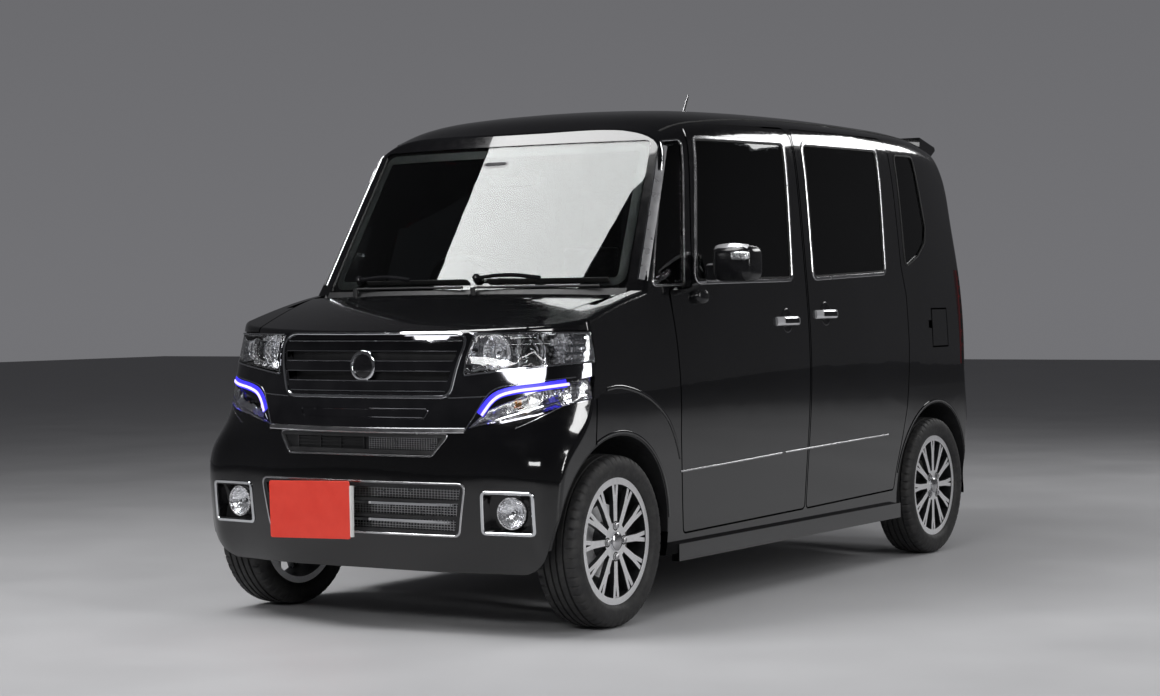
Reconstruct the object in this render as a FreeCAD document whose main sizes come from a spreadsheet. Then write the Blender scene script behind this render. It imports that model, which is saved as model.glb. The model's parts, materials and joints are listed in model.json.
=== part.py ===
"""A tall kei car as an assembly of separate pieces, in millimetres.

The origin lies on the ground midway between the axles. +Z is up, the car faces -Y and +X is its left.
"""
import FreeCAD, Part
import os
from math import cos, radians, sin, tan

from FreeCAD import Placement, Rotation, Vector

doc = FreeCAD.newDocument("kei_car")
sheet = doc.addObject("Spreadsheet::Sheet", "sizes")

SIZES = {
    # whole car
    "body_long": 3395,
    "body_wide": 1475,
    "body_high": 1780,
    "wheelbase": 2520,
    "track_wide": 1305,
    "belt_high": 1100,
    "sill_base_high": 200,
    "jack_front_reach": 700,
    "jack_rear_reach": 800,
    "jack_inner_half": 636,
    "jack_wide": 42,
    "jack_long": 70,
    "jack_base_high": 170,
    # walls and gaps
    "door_thick": 80,
    "roof_thick": 45,
    "pillar_thick": 60,
    "tail_thick": 80,
    "skin_thick": 12,
    "bumper_thick": 26,
    "lamp_deep": 70,
    "panel_gap": 6.5,
    "fit_gap": 0.3,
    "cut_over": 20,
    # rounding of the outer skin
    "pillar_round": 18,
    "tail_round": 45,
    "nose_round": 30,
    "bonnet_round": 20,
    "corner_round": 22,
    "window_round": 24,
    # windscreen, as the skin's front
    "screen_base_high": 1101,
    "screen_base_reach": 1120,
    "screen_base_bulge": 85,
    "screen_top_high": 1640,
    "screen_top_reach": 800,
    "screen_top_bulge": 60,
    "screen_base_half": 630,
    "screen_top_half": 566,
    "screen_glass_top_high": 1612,
    "cowl_high": 1072,
    "bulkhead_reach": 1000,
    # glass
    "glass_thick": 5,
    "glass_sink": 4,
    # roof and tail
    "roof_half_wide": 600,
    "tailgate_half_wide": 612,
    "tailgate_reach": 1460,
    "tailgate_base_high": 520,
    "tail_glass_base_high": 1105,
    "tail_glass_top_high": 1590,
    "tail_glass_half_wide": 520,
    "tail_lamp_base_high": 776,
    "tail_lamp_top_high": 1174,
    "tail_lamp_reach": 1500,
    "rear_bumper_side_high": 700,
    "spoiler_wide": 1130,
    # bonnet and nose
    "bonnet_front_half": 545,
    "bonnet_rear_half": 640,
    "bonnet_front_reach": 1530,
    "bonnet_rear_reach": 1190,
    "bonnet_rear_bow": 75,
    "lamp_top_high": 962,
    "grille_top_high": 952,
    "grille_base_high": 760,
    "grille_top_half": 372,
    "grille_base_half": 325,
    "grille_rim": 12,
    "grille_bar_high": 34,
    "grille_deep": 40,
    "grille_panel_deep": 34,
    "grille_bar_count": 3,
    "lamp_side_reach": 1400,
    "signal_side_reach": 1427,
    "slot_base_high": 575,
    "slot_top_high": 640,
    "slot_top_half": 345,
    "slot_base_half": 300,
    "intake_base_high": 322,
    "intake_top_high": 480,
    "intake_top_half": 410,
    "intake_base_half": 380,
    "intake_bar_high": 10,
    "fog_inner_half": 465,
    "fog_outer_half": 650,
    "fog_base_high": 326,
    "fog_top_high": 463,
    "plate_wide": 330,
    "plate_high": 165,
    "plate_thick": 12,
    "plate_low_high": 305,
    "plate_side_shift": 160,
    # wheels
    "tyre_radius": 281,
    "tyre_wide": 165,
    "bead_radius": 190,
    "rim_lip_radius": 206,
    "rim_wall": 6,
    "rim_wide": 129,
    "spoke_count": 12,
    "spoke_wide": 19,
    "spoke_thick": 16,
    "hub_radius": 62,
    "hub_thick": 34,
    "spindle_radius": 20,
    "spindle_gap": 0.05,
    "disc_radius": 120,
    "disc_thick": 18,
    "arch_radius": 348,
    "liner_thick": 5,
    "liner_inner_half": 430,
    # steering
    "king_pin_low_half": 590,
    "king_pin_low_high": 190,
    "king_pin_top_half": 460,
    "king_pin_top_high": 930,
    "king_pin_radius": 9,
    "strut_radius": 17,
    "spring_radius": 44,
    "steering_radius": 185,
    "steering_rim_radius": 14,
    "steering_side": 345,
    "steering_reach": 530,
    "steering_high": 1060,
    "steering_tilt": 28,
    "column_radius": 14,
    "column_long": 130,
    "steering_hub_radius": 48,
    "steering_hub_thick": 50,
    # door hinges
    "hinge_ahead": 60,
    "hinge_inside": 31,
    "hinge_reach": 74,
    "hinge_run": 126,
    "hinge_pin_radius": 5,
    "hinge_eye_radius": 9,
    "hinge_arm_high": 30,
    "hinge_arm_thick": 12,
    "hinge_room": 6,
    "hinge_clear": 5.3,
    "hinge_low_high": 590,
    "hinge_top_high": 900,
    "seal_step": 12,
    "seal_deep": 25,
    # bonnet and tailgate hinges
    "bonnet_hinge_half": 560,
    "bonnet_hinge_reach": 1100,
    "bonnet_hinge_high": 1050,
    "bonnet_arm_drop": 12,
    "bonnet_arm_run": 64,
    "tail_hinge_half": 220,
    "tail_hinge_wide": 36,
    "tail_lug_wide": 14,
    "tail_lug_gap": 1,
    # door handles
    "handle_long": 175,
    "handle_high": 24,
    "handle_thick": 12,
    "handle_stand": 20,
    "front_handle_reach": 75,
    "front_handle_high": 978,
    "slide_handle_reach": 240,
    "slide_handle_high": 1000,
    # mirrors
    "mirror_half": 895,
    "mirror_inner_half": 765,
    "mirror_reach": 610,
    "mirror_deep": 130,
    "mirror_low_high": 1120,
    "mirror_top_high": 1245,
    "mirror_round": 28,
    # fuel lid
    "lid_reach": 1300,
    "lid_high": 935,
    "lid_wide": 150,
    "lid_tall": 150,
    "lid_thick": 12,
    "lid_room": 60,
    "lid_inside": 15,
    "lid_ahead": 26,
    "lid_eye_radius": 5.5,
    "lid_pin_radius": 3,
    "lid_arm_reach": 27,
    "lid_arm_thick": 6,
    "lid_arm_high": 50,
    "lid_arm_run": 54,
    # skirts
    "skirt_base_high": 178,
    "skirt_top_high": 236,
    "skirt_half": 722,
    "skirt_thick": 40,
    "skirt_front_reach": 878,
    "skirt_rear_reach": 900,
    # floor, engine bay and running gear
    "floor_thick": 24,
    "floor_high": 236,
    "floor_half": 630,
    "engine_wide": 549.4,
    "engine_long": 380,
    "engine_tall": 520,
    "engine_base_high": 240,
    "engine_reach": 1340,
    "radiator_wide": 620,
    "radiator_thick": 36,
    "radiator_base_high": 290,
    "radiator_tall": 400,
    "radiator_reach": 1590,
    "arm_high": 190,
    "arm_thick": 26,
    "arm_wide": 70,
    "subframe_half": 320,
    "subframe_thick": 45,
    "subframe_long": 240,
    "rail_half": 350,
    "rail_wide": 46,
    "rail_high": 590,
    "rail_tall": 60,
    "rail_reach": 1560,
    "tower_long": 160,
    "tower_thick": 24,
    "tower_half": 575,
    "beam_radius": 34,
    "beam_high": 300,
    "beam_ahead": 190,
    "beam_half": 520,
    "trail_wide": 44,
    "trail_ahead": 330,
    "stub_radius": 40,
    "coil_radius": 48,
    "drum_radius": 100,
    "drum_wide": 46,
    "tank_wide": 620,
    "tank_long": 640,
    "tank_tall": 64,
    "tank_reach": 330,
    "pipe_radius": 22,
    "muffler_radius": 78,
    "muffler_long": 420,
    "pipe_side": 380,
    "pipe_high": 200,
    "pipe_rear_reach": 1408,
    "raised_floor_high": 440,
    "raised_floor_reach": 850,
    "raised_floor_half": 539,
    "floor_rear_reach": 1590,
    "floor_lip_high": 514,
    # cabin inside
    "dash_half": 610,
    "seat_wide": 510,
    "seat_side": 315,
    "head_rest_wide": 260,
    "rear_seat_half": 520,
    # small pieces outside
    "wiper_thick": 9,
    "antenna_reach": 230,
    "antenna_side": 120,
    "antenna_long": 110,
    "antenna_radius": 3,
}

for row, (name, value) in enumerate(SIZES.items(), 1):
    sheet.set(f"A{row}", name)
    sheet.set(f"B{row}", str(value))
    sheet.setAlias(f"B{row}", name)
doc.recompute()


class Sheet:
    """Gives each named size of the spreadsheet as a plain number."""

    def __getattr__(self, name):
        return float(sheet.get(name))


s = Sheet()
half_wide = s.body_wide / 2
half_base = s.wheelbase / 2
half_long = s.body_long / 2
over = s.cut_over
ORIGIN = Vector(0, 0, 0)
ALONG_X, ALONG_Y = Vector(1, 0, 0), Vector(0, 1, 0)
pieces = {}


# Outlines as shares: y of the wheelbase, z of the body height, x of the half width

FRONT_DOOR_SHARES = [
    (-0.3214, 0.1478), (-0.3421, 0.3371), (-0.3496, 0.5500), (-0.3528, 0.6169), (-0.2933, 0.6213),
    (-0.2468, 0.9163), (-0.2373, 0.9382), (-0.2222, 0.9433), (0.0238, 0.9534), (0.0349, 0.9326),
    (0.0373, 0.7303), (0.0397, 0.5618), (0.0397, 0.1539),
]
FRONT_GLASS_SHARES = [
    (-0.2798, 0.6320), (-0.2313, 0.9107), (0.0056, 0.9174), (-0.0071, 0.6382),
]
SLIDE_DOOR_SHARES = [
    (0.0417, 0.1539), (0.0417, 0.5618), (0.0393, 0.7303), (0.0369, 0.9326), (0.0480, 0.9534),
    (0.3571, 0.9567), (0.3671, 0.9326), (0.3782, 0.6674), (0.3909, 0.6006), (0.3925, 0.4910),
    (0.3869, 0.3483), (0.3750, 0.2809), (0.3591, 0.2135), (0.3512, 0.1612),
]
SLIDE_GLASS_SHARES = [(0.0659, 0.6410), (0.0667, 0.9197), (0.3179, 0.9236), (0.3131, 0.6539)]
FRONT_QUARTER_SHARES = [
    (-0.3850, 0.6247), (-0.2937, 0.9006), (-0.2620, 0.9051), (-0.3115, 0.6281),
]
REAR_QUARTER_SHARES = [
    (0.3900, 0.9169), (0.4639, 0.9180), (0.4750, 0.8388), (0.4865, 0.7573), (0.4778, 0.7230),
    (0.4452, 0.6921), (0.3950, 0.6674),
]

# Half of the body's cross-section, from the roof's middle to the sill: x and z
SECTION_SHARES = [
    (0.4746, 0.9949), (0.7051, 0.9843), (0.8136, 0.9708), (0.8881, 0.9494), (0.9220, 0.9079),
    (0.9505, 0.8034), (0.9803, 0.6337), (1.0000, 0.4213), (0.9763, 0.2506), (0.9492, 0.0674),
]
# The same for the hollow inside, with flat walls
CAVITY_SHARES = [
    (0.7051, 1.0000), (0.8881, 0.9494), (0.9505, 0.8034), (0.9803, 0.6337), (0.9950, 0.4213),
    (0.9763, 0.2506), (0.9492, 0.0674),
]
# Stations along the body: y, width at the roof, height of the roof
STATION_SHARES = [
    (-0.6944, 0.792, 0.852), (-0.6000, 0.802, 0.858), (-0.5200, 0.815, 0.866),
    (-0.4500, 0.832, 0.878), (-0.3900, 0.853, 0.893), (-0.3373, 0.885, 0.915),
    (-0.2976, 0.907, 0.941), (-0.2579, 0.925, 0.963), (-0.1984, 0.945, 0.980),
    (-0.0794, 0.975, 0.992), (0.0794, 1.000, 0.998), (0.2381, 1.005, 1.000),
    (0.3968, 0.995, 0.999), (0.5159, 0.970, 0.993), (0.5952, 0.945, 0.975),
    (0.6944, 0.910, 0.940),
]
WAIST_SHARE = 0.528

# Shares of one size in another

CORNER_LIMIT_SHARE = 0.45
FOG_RIM_SHARE = 1.6
REAR_BUMPER_SHARE = 0.786
BUMPER_SIDE_SHARE = 1.5
BUMPER_CORNER_SHARE = 1.2
SPOKE_ROOT_SHARE = 0.8
FORK_SHARE = 0.62
FORK_GAP_SHARE = 0.45
CROTCH_SHARE = 0.72
CARRIER_SHARE = 0.8
SPRING_LONG_SHARE = 4.4
WHEEL_SPOKE_SHARE = 0.9
PLATE_RAISE_SHARE = 0.7
WIPER_SHARES = ((0.86, 0.12), (0.04, -0.74))

# Plan curves of the nose at each height: z, then y at each x of NOSE_WIDTH_SHARES
NOSE_WIDTH_SHARES = (0, 0.5, 0.8, 0.93, 1.05)
NOSE_SHARES = [
    (0.0787, (-0.6540, -0.6500, -0.6310, -0.6140, -0.5480)),
    (0.1180, (-0.6595, -0.6550, -0.6370, -0.6230, -0.5630)),
    (0.1854, (-0.6687, -0.6630, -0.6510, -0.6400, -0.5880)),
    (0.2584, (-0.6736, -0.6667, -0.6560, -0.6448, -0.5950)),
    (0.3202, (-0.6726, -0.6647, -0.6528, -0.6389, -0.5830)),
    (0.3708, (-0.6667, -0.6548, -0.6330, -0.6110, -0.5480)),
    (0.4270, (-0.6619, -0.6468, -0.6210, -0.5950, -0.5320)),
    (0.4792, (-0.6567, -0.6437, -0.6111, -0.5853, -0.5240)),
    (0.5421, (-0.6429, -0.6262, -0.5972, -0.5714, -0.5120)),
    (0.6180, (-0.6190, -0.6032, -0.5754, -0.5476, -0.4880)),
    (0.6900, (-0.5900, -0.5750, -0.5480, -0.5200, -0.4600)),
]
# The bonnet's surface along the car: y, height at the middle, height lost at the side
BONNET_SHARES = [
    (-0.6944, 0.5169, 0.0253), (-0.6429, 0.5430, 0.0230), (-0.5357, 0.5890, 0.0197),
    (-0.4444, 0.6180, 0.0169), (-0.3175, 0.6376, 0.0169),
]
# The tail along its height: z, y at the middle
TAIL_SHARES = [
    (0.0674, 0.6567), (0.1685, 0.6687), (0.2584, 0.6736), (0.3315, 0.6706), (0.4000, 0.6607),
    (0.5056, 0.6587), (0.6629, 0.6548), (0.7865, 0.6429), (0.8989, 0.6250), (1.0200, 0.6000),
]
TAIL_WIDTH_SHARES = (0, 0.6, 0.84, 0.97, 1.1)
TAIL_DROP_SHARES = (0, 0.0055, 0.0170, 0.0340, 0.0800)


def steps_along(points):
    """How far along the line through them all each point lies, from 0 to 1."""
    lengths = [0.0]
    for first, last in zip(points, points[1:]):
        lengths.append(lengths[-1] + (Vector(*last) - Vector(*first)).Length)
    return [length / lengths[-1] for length in lengths]


def spline(points, steps=None):
    """One smooth edge through the points. Curves of one surface share their steps, which keeps it light."""
    curve = Part.BSplineCurve()
    curve.interpolate(Points=[Vector(*p) for p in points], Parameters=steps or steps_along(points))
    return curve.toShape()


def spline_across(points):
    """The same, its steps taken across the car only."""
    return spline(points, steps_along([(p[0], 0, 0) for p in points]))


def line(a, b):
    return Part.LineSegment(Vector(*a), Vector(*b)).toShape()


def box(x_low, x_top, y_low, y_top, z_low, z_top):
    return Part.makeBox(x_top - x_low, y_top - y_low, z_top - z_low, Vector(x_low, y_low, z_low))


def mirrored(shape):
    return shape.mirror(ORIGIN, ALONG_X)


def both(shape):
    """The shape and its mirror image, as solids that don't touch."""
    return Part.makeCompound(shape.Solids + mirrored(shape).Solids)


def rounded_face(points, radius):
    """A face on corner points that lie in one plane, its corners rounded."""
    corners = [Vector(*p) for p in points]
    arcs = []
    for i, corner in enumerate(corners):
        back = corners[i - 1] - corner
        ahead = corners[(i + 1) % len(corners)] - corner
        half = back.getAngle(ahead) / 2
        limit = CORNER_LIMIT_SHARE * min(back.Length, ahead.Length)
        reach = min(radius / tan(half), limit)
        back.normalize()
        ahead.normalize()
        start, end = corner + back * reach, corner + ahead * reach
        inward = (back + ahead).normalize()
        centre = corner + inward * (reach / cos(half))
        arcs.append((start, centre - inward * (reach * tan(half)), end))
    edges = []
    for i, (start, middle, end) in enumerate(arcs):
        edges.append(Part.Arc(start, middle, end).toShape())
        following = arcs[(i + 1) % len(arcs)][0]
        edges.append(Part.LineSegment(end, following).toShape())
    return Part.Face(Part.Wire(edges))


def side_outline(shares):
    """Corner points in the side view, from shares of the wheelbase and the body height."""
    return [(0, y * s.wheelbase, z * s.body_high) for y, z in shares]


def side_prism(shares, radius, shrink=0.0):
    """A prism through the car's left side on an outline in the side view."""
    face = rounded_face(side_outline(shares), radius)
    if shrink:
        face = face.makeOffset2D(-shrink)
    face.translate(Vector(s.roof_half_wide, 0, 0))
    return face.extrude(Vector(half_wide, 0, 0))


def front_prism(points, y_low, y_top, radius=0.0, shrink=0.0):
    """A prism along the car on an outline in the front view, given as x and z."""
    corners = [(x, y_low, z) for x, z in points]
    if radius:
        face = rounded_face(corners, radius)
    else:
        face = Part.Face(Part.makePolygon([Vector(*c) for c in corners + corners[:1]]))
    if shrink:
        face = face.makeOffset2D(-shrink)
    return face.extrude(Vector(0, y_top - y_low, 0))


def trapezium(base_half, top_half, base_high, top_high):
    """Corner points of a symmetric outline in the front view."""
    return [(-base_half, base_high), (-top_half, top_high), (top_half, top_high), (base_half, base_high)]


def body_section(station, side_inset, roof_inset):
    """The body's closed cross-section at one station."""
    y_share, top_share, high_share = station
    y = y_share * s.wheelbase
    waist = WAIST_SHARE * s.body_high
    roof = high_share * s.body_high
    width_scale = (half_wide - side_inset) / half_wide
    right = []
    for x_share, z_share in SECTION_SHARES:
        rise = max(0.0, (z_share - WAIST_SHARE) / (1 - WAIST_SHARE))
        narrowing = 1 + (top_share - 1) * rise
        z = waist + rise * (roof - roof_inset - waist) if rise else z_share * s.body_high
        right.append((x_share * half_wide * narrowing * width_scale, y, z))
    left = [(-x, yy, z) for x, yy, z in reversed(right)]
    half = [(x_share * half_wide, 0, z_share * s.body_high) for x_share, z_share in SECTION_SHARES]
    plain = [(-x, 0, z) for x, _, z in reversed(half)] + [(0, 0, s.body_high)] + half
    top = spline(left + [(0, y, roof - roof_inset)] + right, steps_along(plain))
    return Part.Wire([top, line(right[-1], left[0])])


def body_tube(side_inset, roof_inset):
    """The body's sides and roof, open-ended beyond the nose and the tail."""
    sections = [body_section(station, side_inset, roof_inset) for station in STATION_SHARES]
    return Part.makeLoft(sections, True, False)


def plan_section(z, front, rear):
    """A closed plan section whose front and rear edges run through points given as x and y."""
    first = spline_across([(x, y, z) for x, y in front])
    last = spline_across([(x, y, z) for x, y in rear])
    left = line((*front[0], z), (*rear[0], z))
    right = line((*front[-1], z), (*rear[-1], z))
    return Part.Wire([first, right, last, left])


def mirrored_points(shares, values):
    """Points across the car from the x shares and y values of one half."""
    right = [(x * half_wide, y) for x, y in zip(shares, values)]
    return [(-x, y) for x, y in reversed(right[1:])] + right


def windscreen_block(inset):
    """Everything behind the windscreen's surface, above the cowl."""
    wires = []
    rise = s.screen_top_high - s.screen_base_high
    for z in (s.cowl_high + inset, s.body_high + over):
        part = (z - s.screen_base_high) / rise
        middle = -s.screen_base_reach + part * (s.screen_base_reach - s.screen_top_reach) + inset
        base_curve = s.screen_base_bulge / s.screen_base_half**2
        top_curve = s.screen_top_bulge / s.screen_top_half**2
        curve = base_curve + part * (top_curve - base_curve)
        reach = half_wide + over
        front = [(x, middle + curve * x * x) for x in (-reach, -reach / 2, 0, reach / 2, reach)]
        rear = [(x, half_long + over) for x in (-reach, 0, reach)]
        wires.append(plan_section(z, front, rear))
    block = Part.makeLoft(wires, True, True)
    lower = box(-reach, reach, -s.bulkhead_reach + inset, half_long + over, 0, s.cowl_high + inset)
    return block.fuse(lower)


def tail_block(inset):
    """Everything ahead of the tail's surface."""
    wires = []
    for z_share, y_share in TAIL_SHARES:
        middle = y_share * s.wheelbase - inset
        values = [middle - drop * s.wheelbase for drop in TAIL_DROP_SHARES]
        rear = mirrored_points(TAIL_WIDTH_SHARES, values)
        front = [(x, -half_long) for x, _ in (rear[0], rear[len(rear) // 2], rear[-1])]
        wires.append(plan_section(z_share * s.body_high, front, rear))
    return Part.makeLoft(wires, True, False)


def nose_block(inset):
    """Everything behind the nose's surface."""
    wires = []
    for z_share, y_shares in NOSE_SHARES:
        front = mirrored_points(NOSE_WIDTH_SHARES, [y * s.wheelbase + inset for y in y_shares])
        rear = [(x, -half_base / 2) for x, _ in (front[0], front[len(front) // 2], front[-1])]
        wires.append(plan_section(z_share * s.body_high, front, rear))
    return Part.makeLoft(wires, True, False)


def bonnet_block(inset):
    """Everything under the bonnet's surface."""
    wires = []
    for y_share, z_share, drop_share in BONNET_SHARES:
        y, z, drop = y_share * s.wheelbase, z_share * s.body_high - inset, drop_share * s.body_high
        top = spline_across([
            (x * s.body_wide, y, z - drop * (2 * x)**2) for x in (-0.6, -0.3, 0, 0.3, 0.6)
        ])
        ends = [(-0.6 * s.body_wide, y, 0), (0.6 * s.body_wide, y, 0)]
        first, last = top.Vertexes[0].Point, top.Vertexes[-1].Point
        wires.append(Part.Wire([top, line(last, ends[1]), line(ends[1], ends[0]), line(ends[0], first)]))
    return Part.makeLoft(wires, True, False)


def cabin(side=0.0, roof=0.0, front=0.0, tail=0.0):
    """The cabin's solid, each of its faces set in by its own distance."""
    return body_tube(side, roof).common(windscreen_block(front)).common(tail_block(tail))


def rounded_cabin():
    """The cabin's outer solid, rounded along the windscreen and the tail."""
    block = cabin()
    tall = s.body_high / 4
    front = [
        e for e in block.Edges
        if e.BoundBox.YMax < 0 and e.BoundBox.ZLength > tall and e.BoundBox.XLength > tall
    ]
    block = block.makeFillet(s.pillar_round, front)
    rear = [e for e in block.Edges if e.BoundBox.YMin > half_base and e.BoundBox.ZLength > tall]
    return block.makeFillet(s.tail_round, rear)


def nose(inset=0.0):
    """The nose's solid, from the bumper back past the doors' front edge."""
    return body_tube(inset, 0).common(nose_block(inset)).common(bonnet_block(inset))


def rounded_nose():
    """The nose's outer solid, rounded at its corners and along the bonnet."""
    block = nose()
    tall = s.belt_high / 2
    corners = [e for e in block.Edges if e.BoundBox.ZLength > tall and e.BoundBox.YMax < -half_base]
    block = block.makeFillet(s.nose_round, corners)
    upper = [
        e for e in block.Edges
        if e.BoundBox.ZMin > s.grille_base_high + s.door_thick * 2
        and e.BoundBox.YMin < -s.bulkhead_reach and e.BoundBox.YLength > s.nose_round / 2
    ]
    return block.makeFillet(s.bonnet_round, upper)


def flat_section(station, side_inset, roof_inset):
    """The body's cross-section at one station as a polygon."""
    y_share, top_share, high_share = station
    y = y_share * s.wheelbase
    waist = WAIST_SHARE * s.body_high
    roof = high_share * s.body_high - roof_inset
    right = []
    for x_share, z_share in CAVITY_SHARES:
        rise = max(0.0, (z_share - WAIST_SHARE) / (1 - WAIST_SHARE))
        narrowing = 1 + (top_share - 1) * rise
        z = waist + rise * (roof - waist) if rise else z_share * s.body_high
        right.append(Vector(x_share * (half_wide - side_inset) * narrowing, y, z))
    left = [Vector(-v.x, v.y, v.z) for v in reversed(right)]
    return Part.makePolygon(left + right + left[:1])


def flat_tube(side_inset, roof_inset):
    """The hollow inside the body's sides and roof, with flat walls."""
    sections = [flat_section(station, side_inset, roof_inset) for station in STATION_SHARES[::3]]
    return Part.makeLoft(sections, True, True)


def side_block(points):
    """A prism across the whole car on an outline in the side view, given as y and z."""
    corners = [Vector(-half_wide - over, y, z) for y, z in points]
    face = Part.Face(Part.makePolygon(corners + corners[:1]))
    return face.extrude(Vector(2 * (half_wide + over), 0, 0))


def cabin_cavity():
    """The hollow cabin inside its walls."""
    slope = (s.screen_base_reach - s.screen_top_reach) / (s.screen_top_high - s.screen_base_high)
    front = -s.screen_base_reach + s.screen_base_bulge + s.pillar_thick
    outline = [
        (-s.bulkhead_reach + s.pillar_thick, 0), (-s.bulkhead_reach + s.pillar_thick, s.screen_base_high),
        (front, s.screen_base_high), (front + slope * (s.body_high - s.screen_base_high), s.body_high),
    ]
    tail = [(y * s.wheelbase - s.tail_thick, z * s.body_high) for z, y in reversed(TAIL_SHARES[3::2])]
    outline += [(tail[0][0], s.body_high)] + tail[1:] + [(tail[-1][0], 0)]
    return flat_tube(s.door_thick, s.roof_thick).common(side_block(outline))


def nose_cavity(inset):
    """The hollow inside the nose at a depth below its skin, with flat walls."""
    wires = []
    for z_share, y_shares in NOSE_SHARES[::3]:
        points = mirrored_points(NOSE_WIDTH_SHARES, [y * s.wheelbase + inset for y in y_shares])
        points = [Vector(x, y, z_share * s.body_high) for x, y in points]
        back = [Vector(v.x, -half_base / 2, v.z) for v in (points[-1], points[0])]
        wires.append(Part.makePolygon(points + back + points[:1]))
    front = Part.makeLoft(wires, True, True)
    top = [(y * s.wheelbase, (z - drop) * s.body_high - inset) for y, z, drop in BONNET_SHARES]
    outline = top + [(top[-1][0], 0), (top[0][0], 0)]
    return flat_tube(inset, 0).common(front).common(side_block(outline))


def largest(shape):
    """The biggest solid of a shape, without the crumbs that a cut leaves."""
    return max(shape.Solids, key=lambda solid: solid.Volume)


def add(label, shape, placement=None):
    """Adds a sub-part whose shape is a compound or solid made above."""
    piece = doc.addObject("Part::Feature", label)
    solids = shape.Solids
    piece.Shape = solids[0] if len(solids) == 1 else Part.makeCompound(solids)
    piece.Label = label
    piece.Placement = placement or Placement()
    pieces[label] = piece
    return piece


def arch(y, radius, x_low):
    """A cylinder along X about a wheel's axle, on the car's left."""
    return Part.makeCylinder(radius, half_wide + over - x_low, Vector(x_low, y, s.tyre_radius), ALONG_X)


def framed_grille(opening_points, radius, bars, behind, panel):
    """A grille in an opening of the nose: its rim, its bars and the panel behind them, as one solid."""
    opening = front_prism(opening_points, -y_far, -half_base, radius, s.fit_gap)
    inside = front_prism(opening_points, -y_far, -half_base, radius, s.grille_rim)
    block = nose_outer.common(opening).cut(behind)
    shape = block.cut(inside).fuse(block.common(panel))
    for low, top in bars:
        shape = shape.fuse(block.common(box(-x_far, x_far, -y_far, 0, low, top)))
    return shape


# Body skins and hollows

x_far, y_far, z_far = half_wide + over, half_long + over, s.body_high + over
gap, fit = s.panel_gap, s.fit_gap
left_side = box(0, x_far, -y_far, y_far, 0, z_far)
cabin_outer = rounded_cabin()
cabin_hollow = cabin_cavity()
cabin_left = cabin_outer.common(left_side)
glass_outer = cabin(s.glass_sink, s.glass_sink, s.glass_sink, s.glass_sink)
glass_deep = s.glass_sink + s.glass_thick
glass_inner = cabin(glass_deep, glass_deep, glass_deep, glass_deep)
nose_outer = rounded_nose()
nose_left = nose_outer.common(left_side)
skin_back = nose_cavity(s.skin_thick)
bumper_back = nose_cavity(s.bumper_thick)
grille_front = nose_cavity(s.grille_deep - s.skin_thick)
grille_back = nose_cavity(s.grille_deep)
lamp_back = nose_cavity(s.lamp_deep)

# Zones that split the skins into panels

front_door_cut = side_prism(FRONT_DOOR_SHARES, s.corner_round)
front_door_zone = side_prism(FRONT_DOOR_SHARES, s.corner_round, gap)
slide_door_cut = side_prism(SLIDE_DOOR_SHARES, s.corner_round)
slide_door_zone = side_prism(SLIDE_DOOR_SHARES, s.corner_round, gap)
front_glass_cut = side_prism(FRONT_GLASS_SHARES, s.window_round)
front_glass_zone = side_prism(FRONT_GLASS_SHARES, s.window_round, fit)
slide_glass_cut = side_prism(SLIDE_GLASS_SHARES, s.window_round)
slide_glass_zone = side_prism(SLIDE_GLASS_SHARES, s.window_round, fit)
front_quarter_cut = side_prism(FRONT_QUARTER_SHARES, s.window_round / 2)
front_quarter_zone = side_prism(FRONT_QUARTER_SHARES, s.window_round / 2, fit)
rear_quarter_cut = side_prism(REAR_QUARTER_SHARES, s.window_round)
rear_quarter_zone = side_prism(REAR_QUARTER_SHARES, s.window_round, fit)
screen_points = trapezium(s.screen_base_half, s.screen_top_half, s.screen_base_high, s.screen_glass_top_high)
screen_cut = front_prism(screen_points, -y_far, -half_base / 4, s.window_round)
screen_zone = front_prism(screen_points, -y_far, -half_base / 4, s.window_round, fit)
roof_zone = box(
    -s.roof_half_wide, s.roof_half_wide, -y_far, s.tailgate_reach - gap, s.screen_glass_top_high, z_far,
)
tailgate_cut = box(
    -s.tailgate_half_wide, s.tailgate_half_wide, s.tailgate_reach, y_far, s.tailgate_base_high, z_far,
)
tailgate_zone = box(
    -s.tailgate_half_wide + gap, s.tailgate_half_wide - gap, s.tailgate_reach, y_far,
    s.tailgate_base_high + gap, z_far,
)
bulkhead_zone = box(-s.floor_half, s.floor_half, -y_far, -half_base / 2, s.floor_high, s.screen_base_high)
front_arch = arch(-half_base, s.arch_radius, s.liner_inner_half)
rear_arch = arch(half_base, s.arch_radius, s.liner_inner_half)

FENDER_SHARES = [
    (-0.7100, 0.5427), (-0.5535, 0.5427), (-0.5535, 0.4871), (-0.5643, 0.4303), (-0.5550, 0.3483),
    (-0.5550, 0.2528), (-0.4365, 0.1470), (-0.3214, 0.1470), (-0.3214, 0.1478), (-0.3421, 0.3371),
    (-0.3496, 0.5500), (-0.3528, 0.6169), (-0.4040, 0.6169), (-0.4200, 0.7000), (-0.7100, 0.7000),
]
BUMPER_TOP_SHARES = [(0, 0.3652), (0.5342, 0.3652), (0.6370, 0.3736), (0.8400, 0.3933), (1.0600, 0.4303)]
HEADLAMP_SHARES = [(0.5383, 0.5404), (0.5045, 0.4663), (0.7600, 0.4750), (1.0600, 0.4876), (1.0600, 0.5404)]
SIGNAL_SHARES = [(0.5505, 0.3708), (0.6300, 0.4045), (1.0600, 0.4719), (1.0600, 0.4303), (0.8400, 0.3960)]


def front_points(shares):
    """Corner points in the front view, from shares of the half width and the body height."""
    return [(x * half_wide, z * s.body_high) for x, z in shares]


def side_cut(shares):
    """A prism through the car's left side with sharp corners."""
    corners = [Vector(0, y, z) for _, y, z in side_outline(shares)]
    face = Part.Face(Part.makePolygon(corners + corners[:1]))
    return face.extrude(Vector(x_far, 0, 0))


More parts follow.
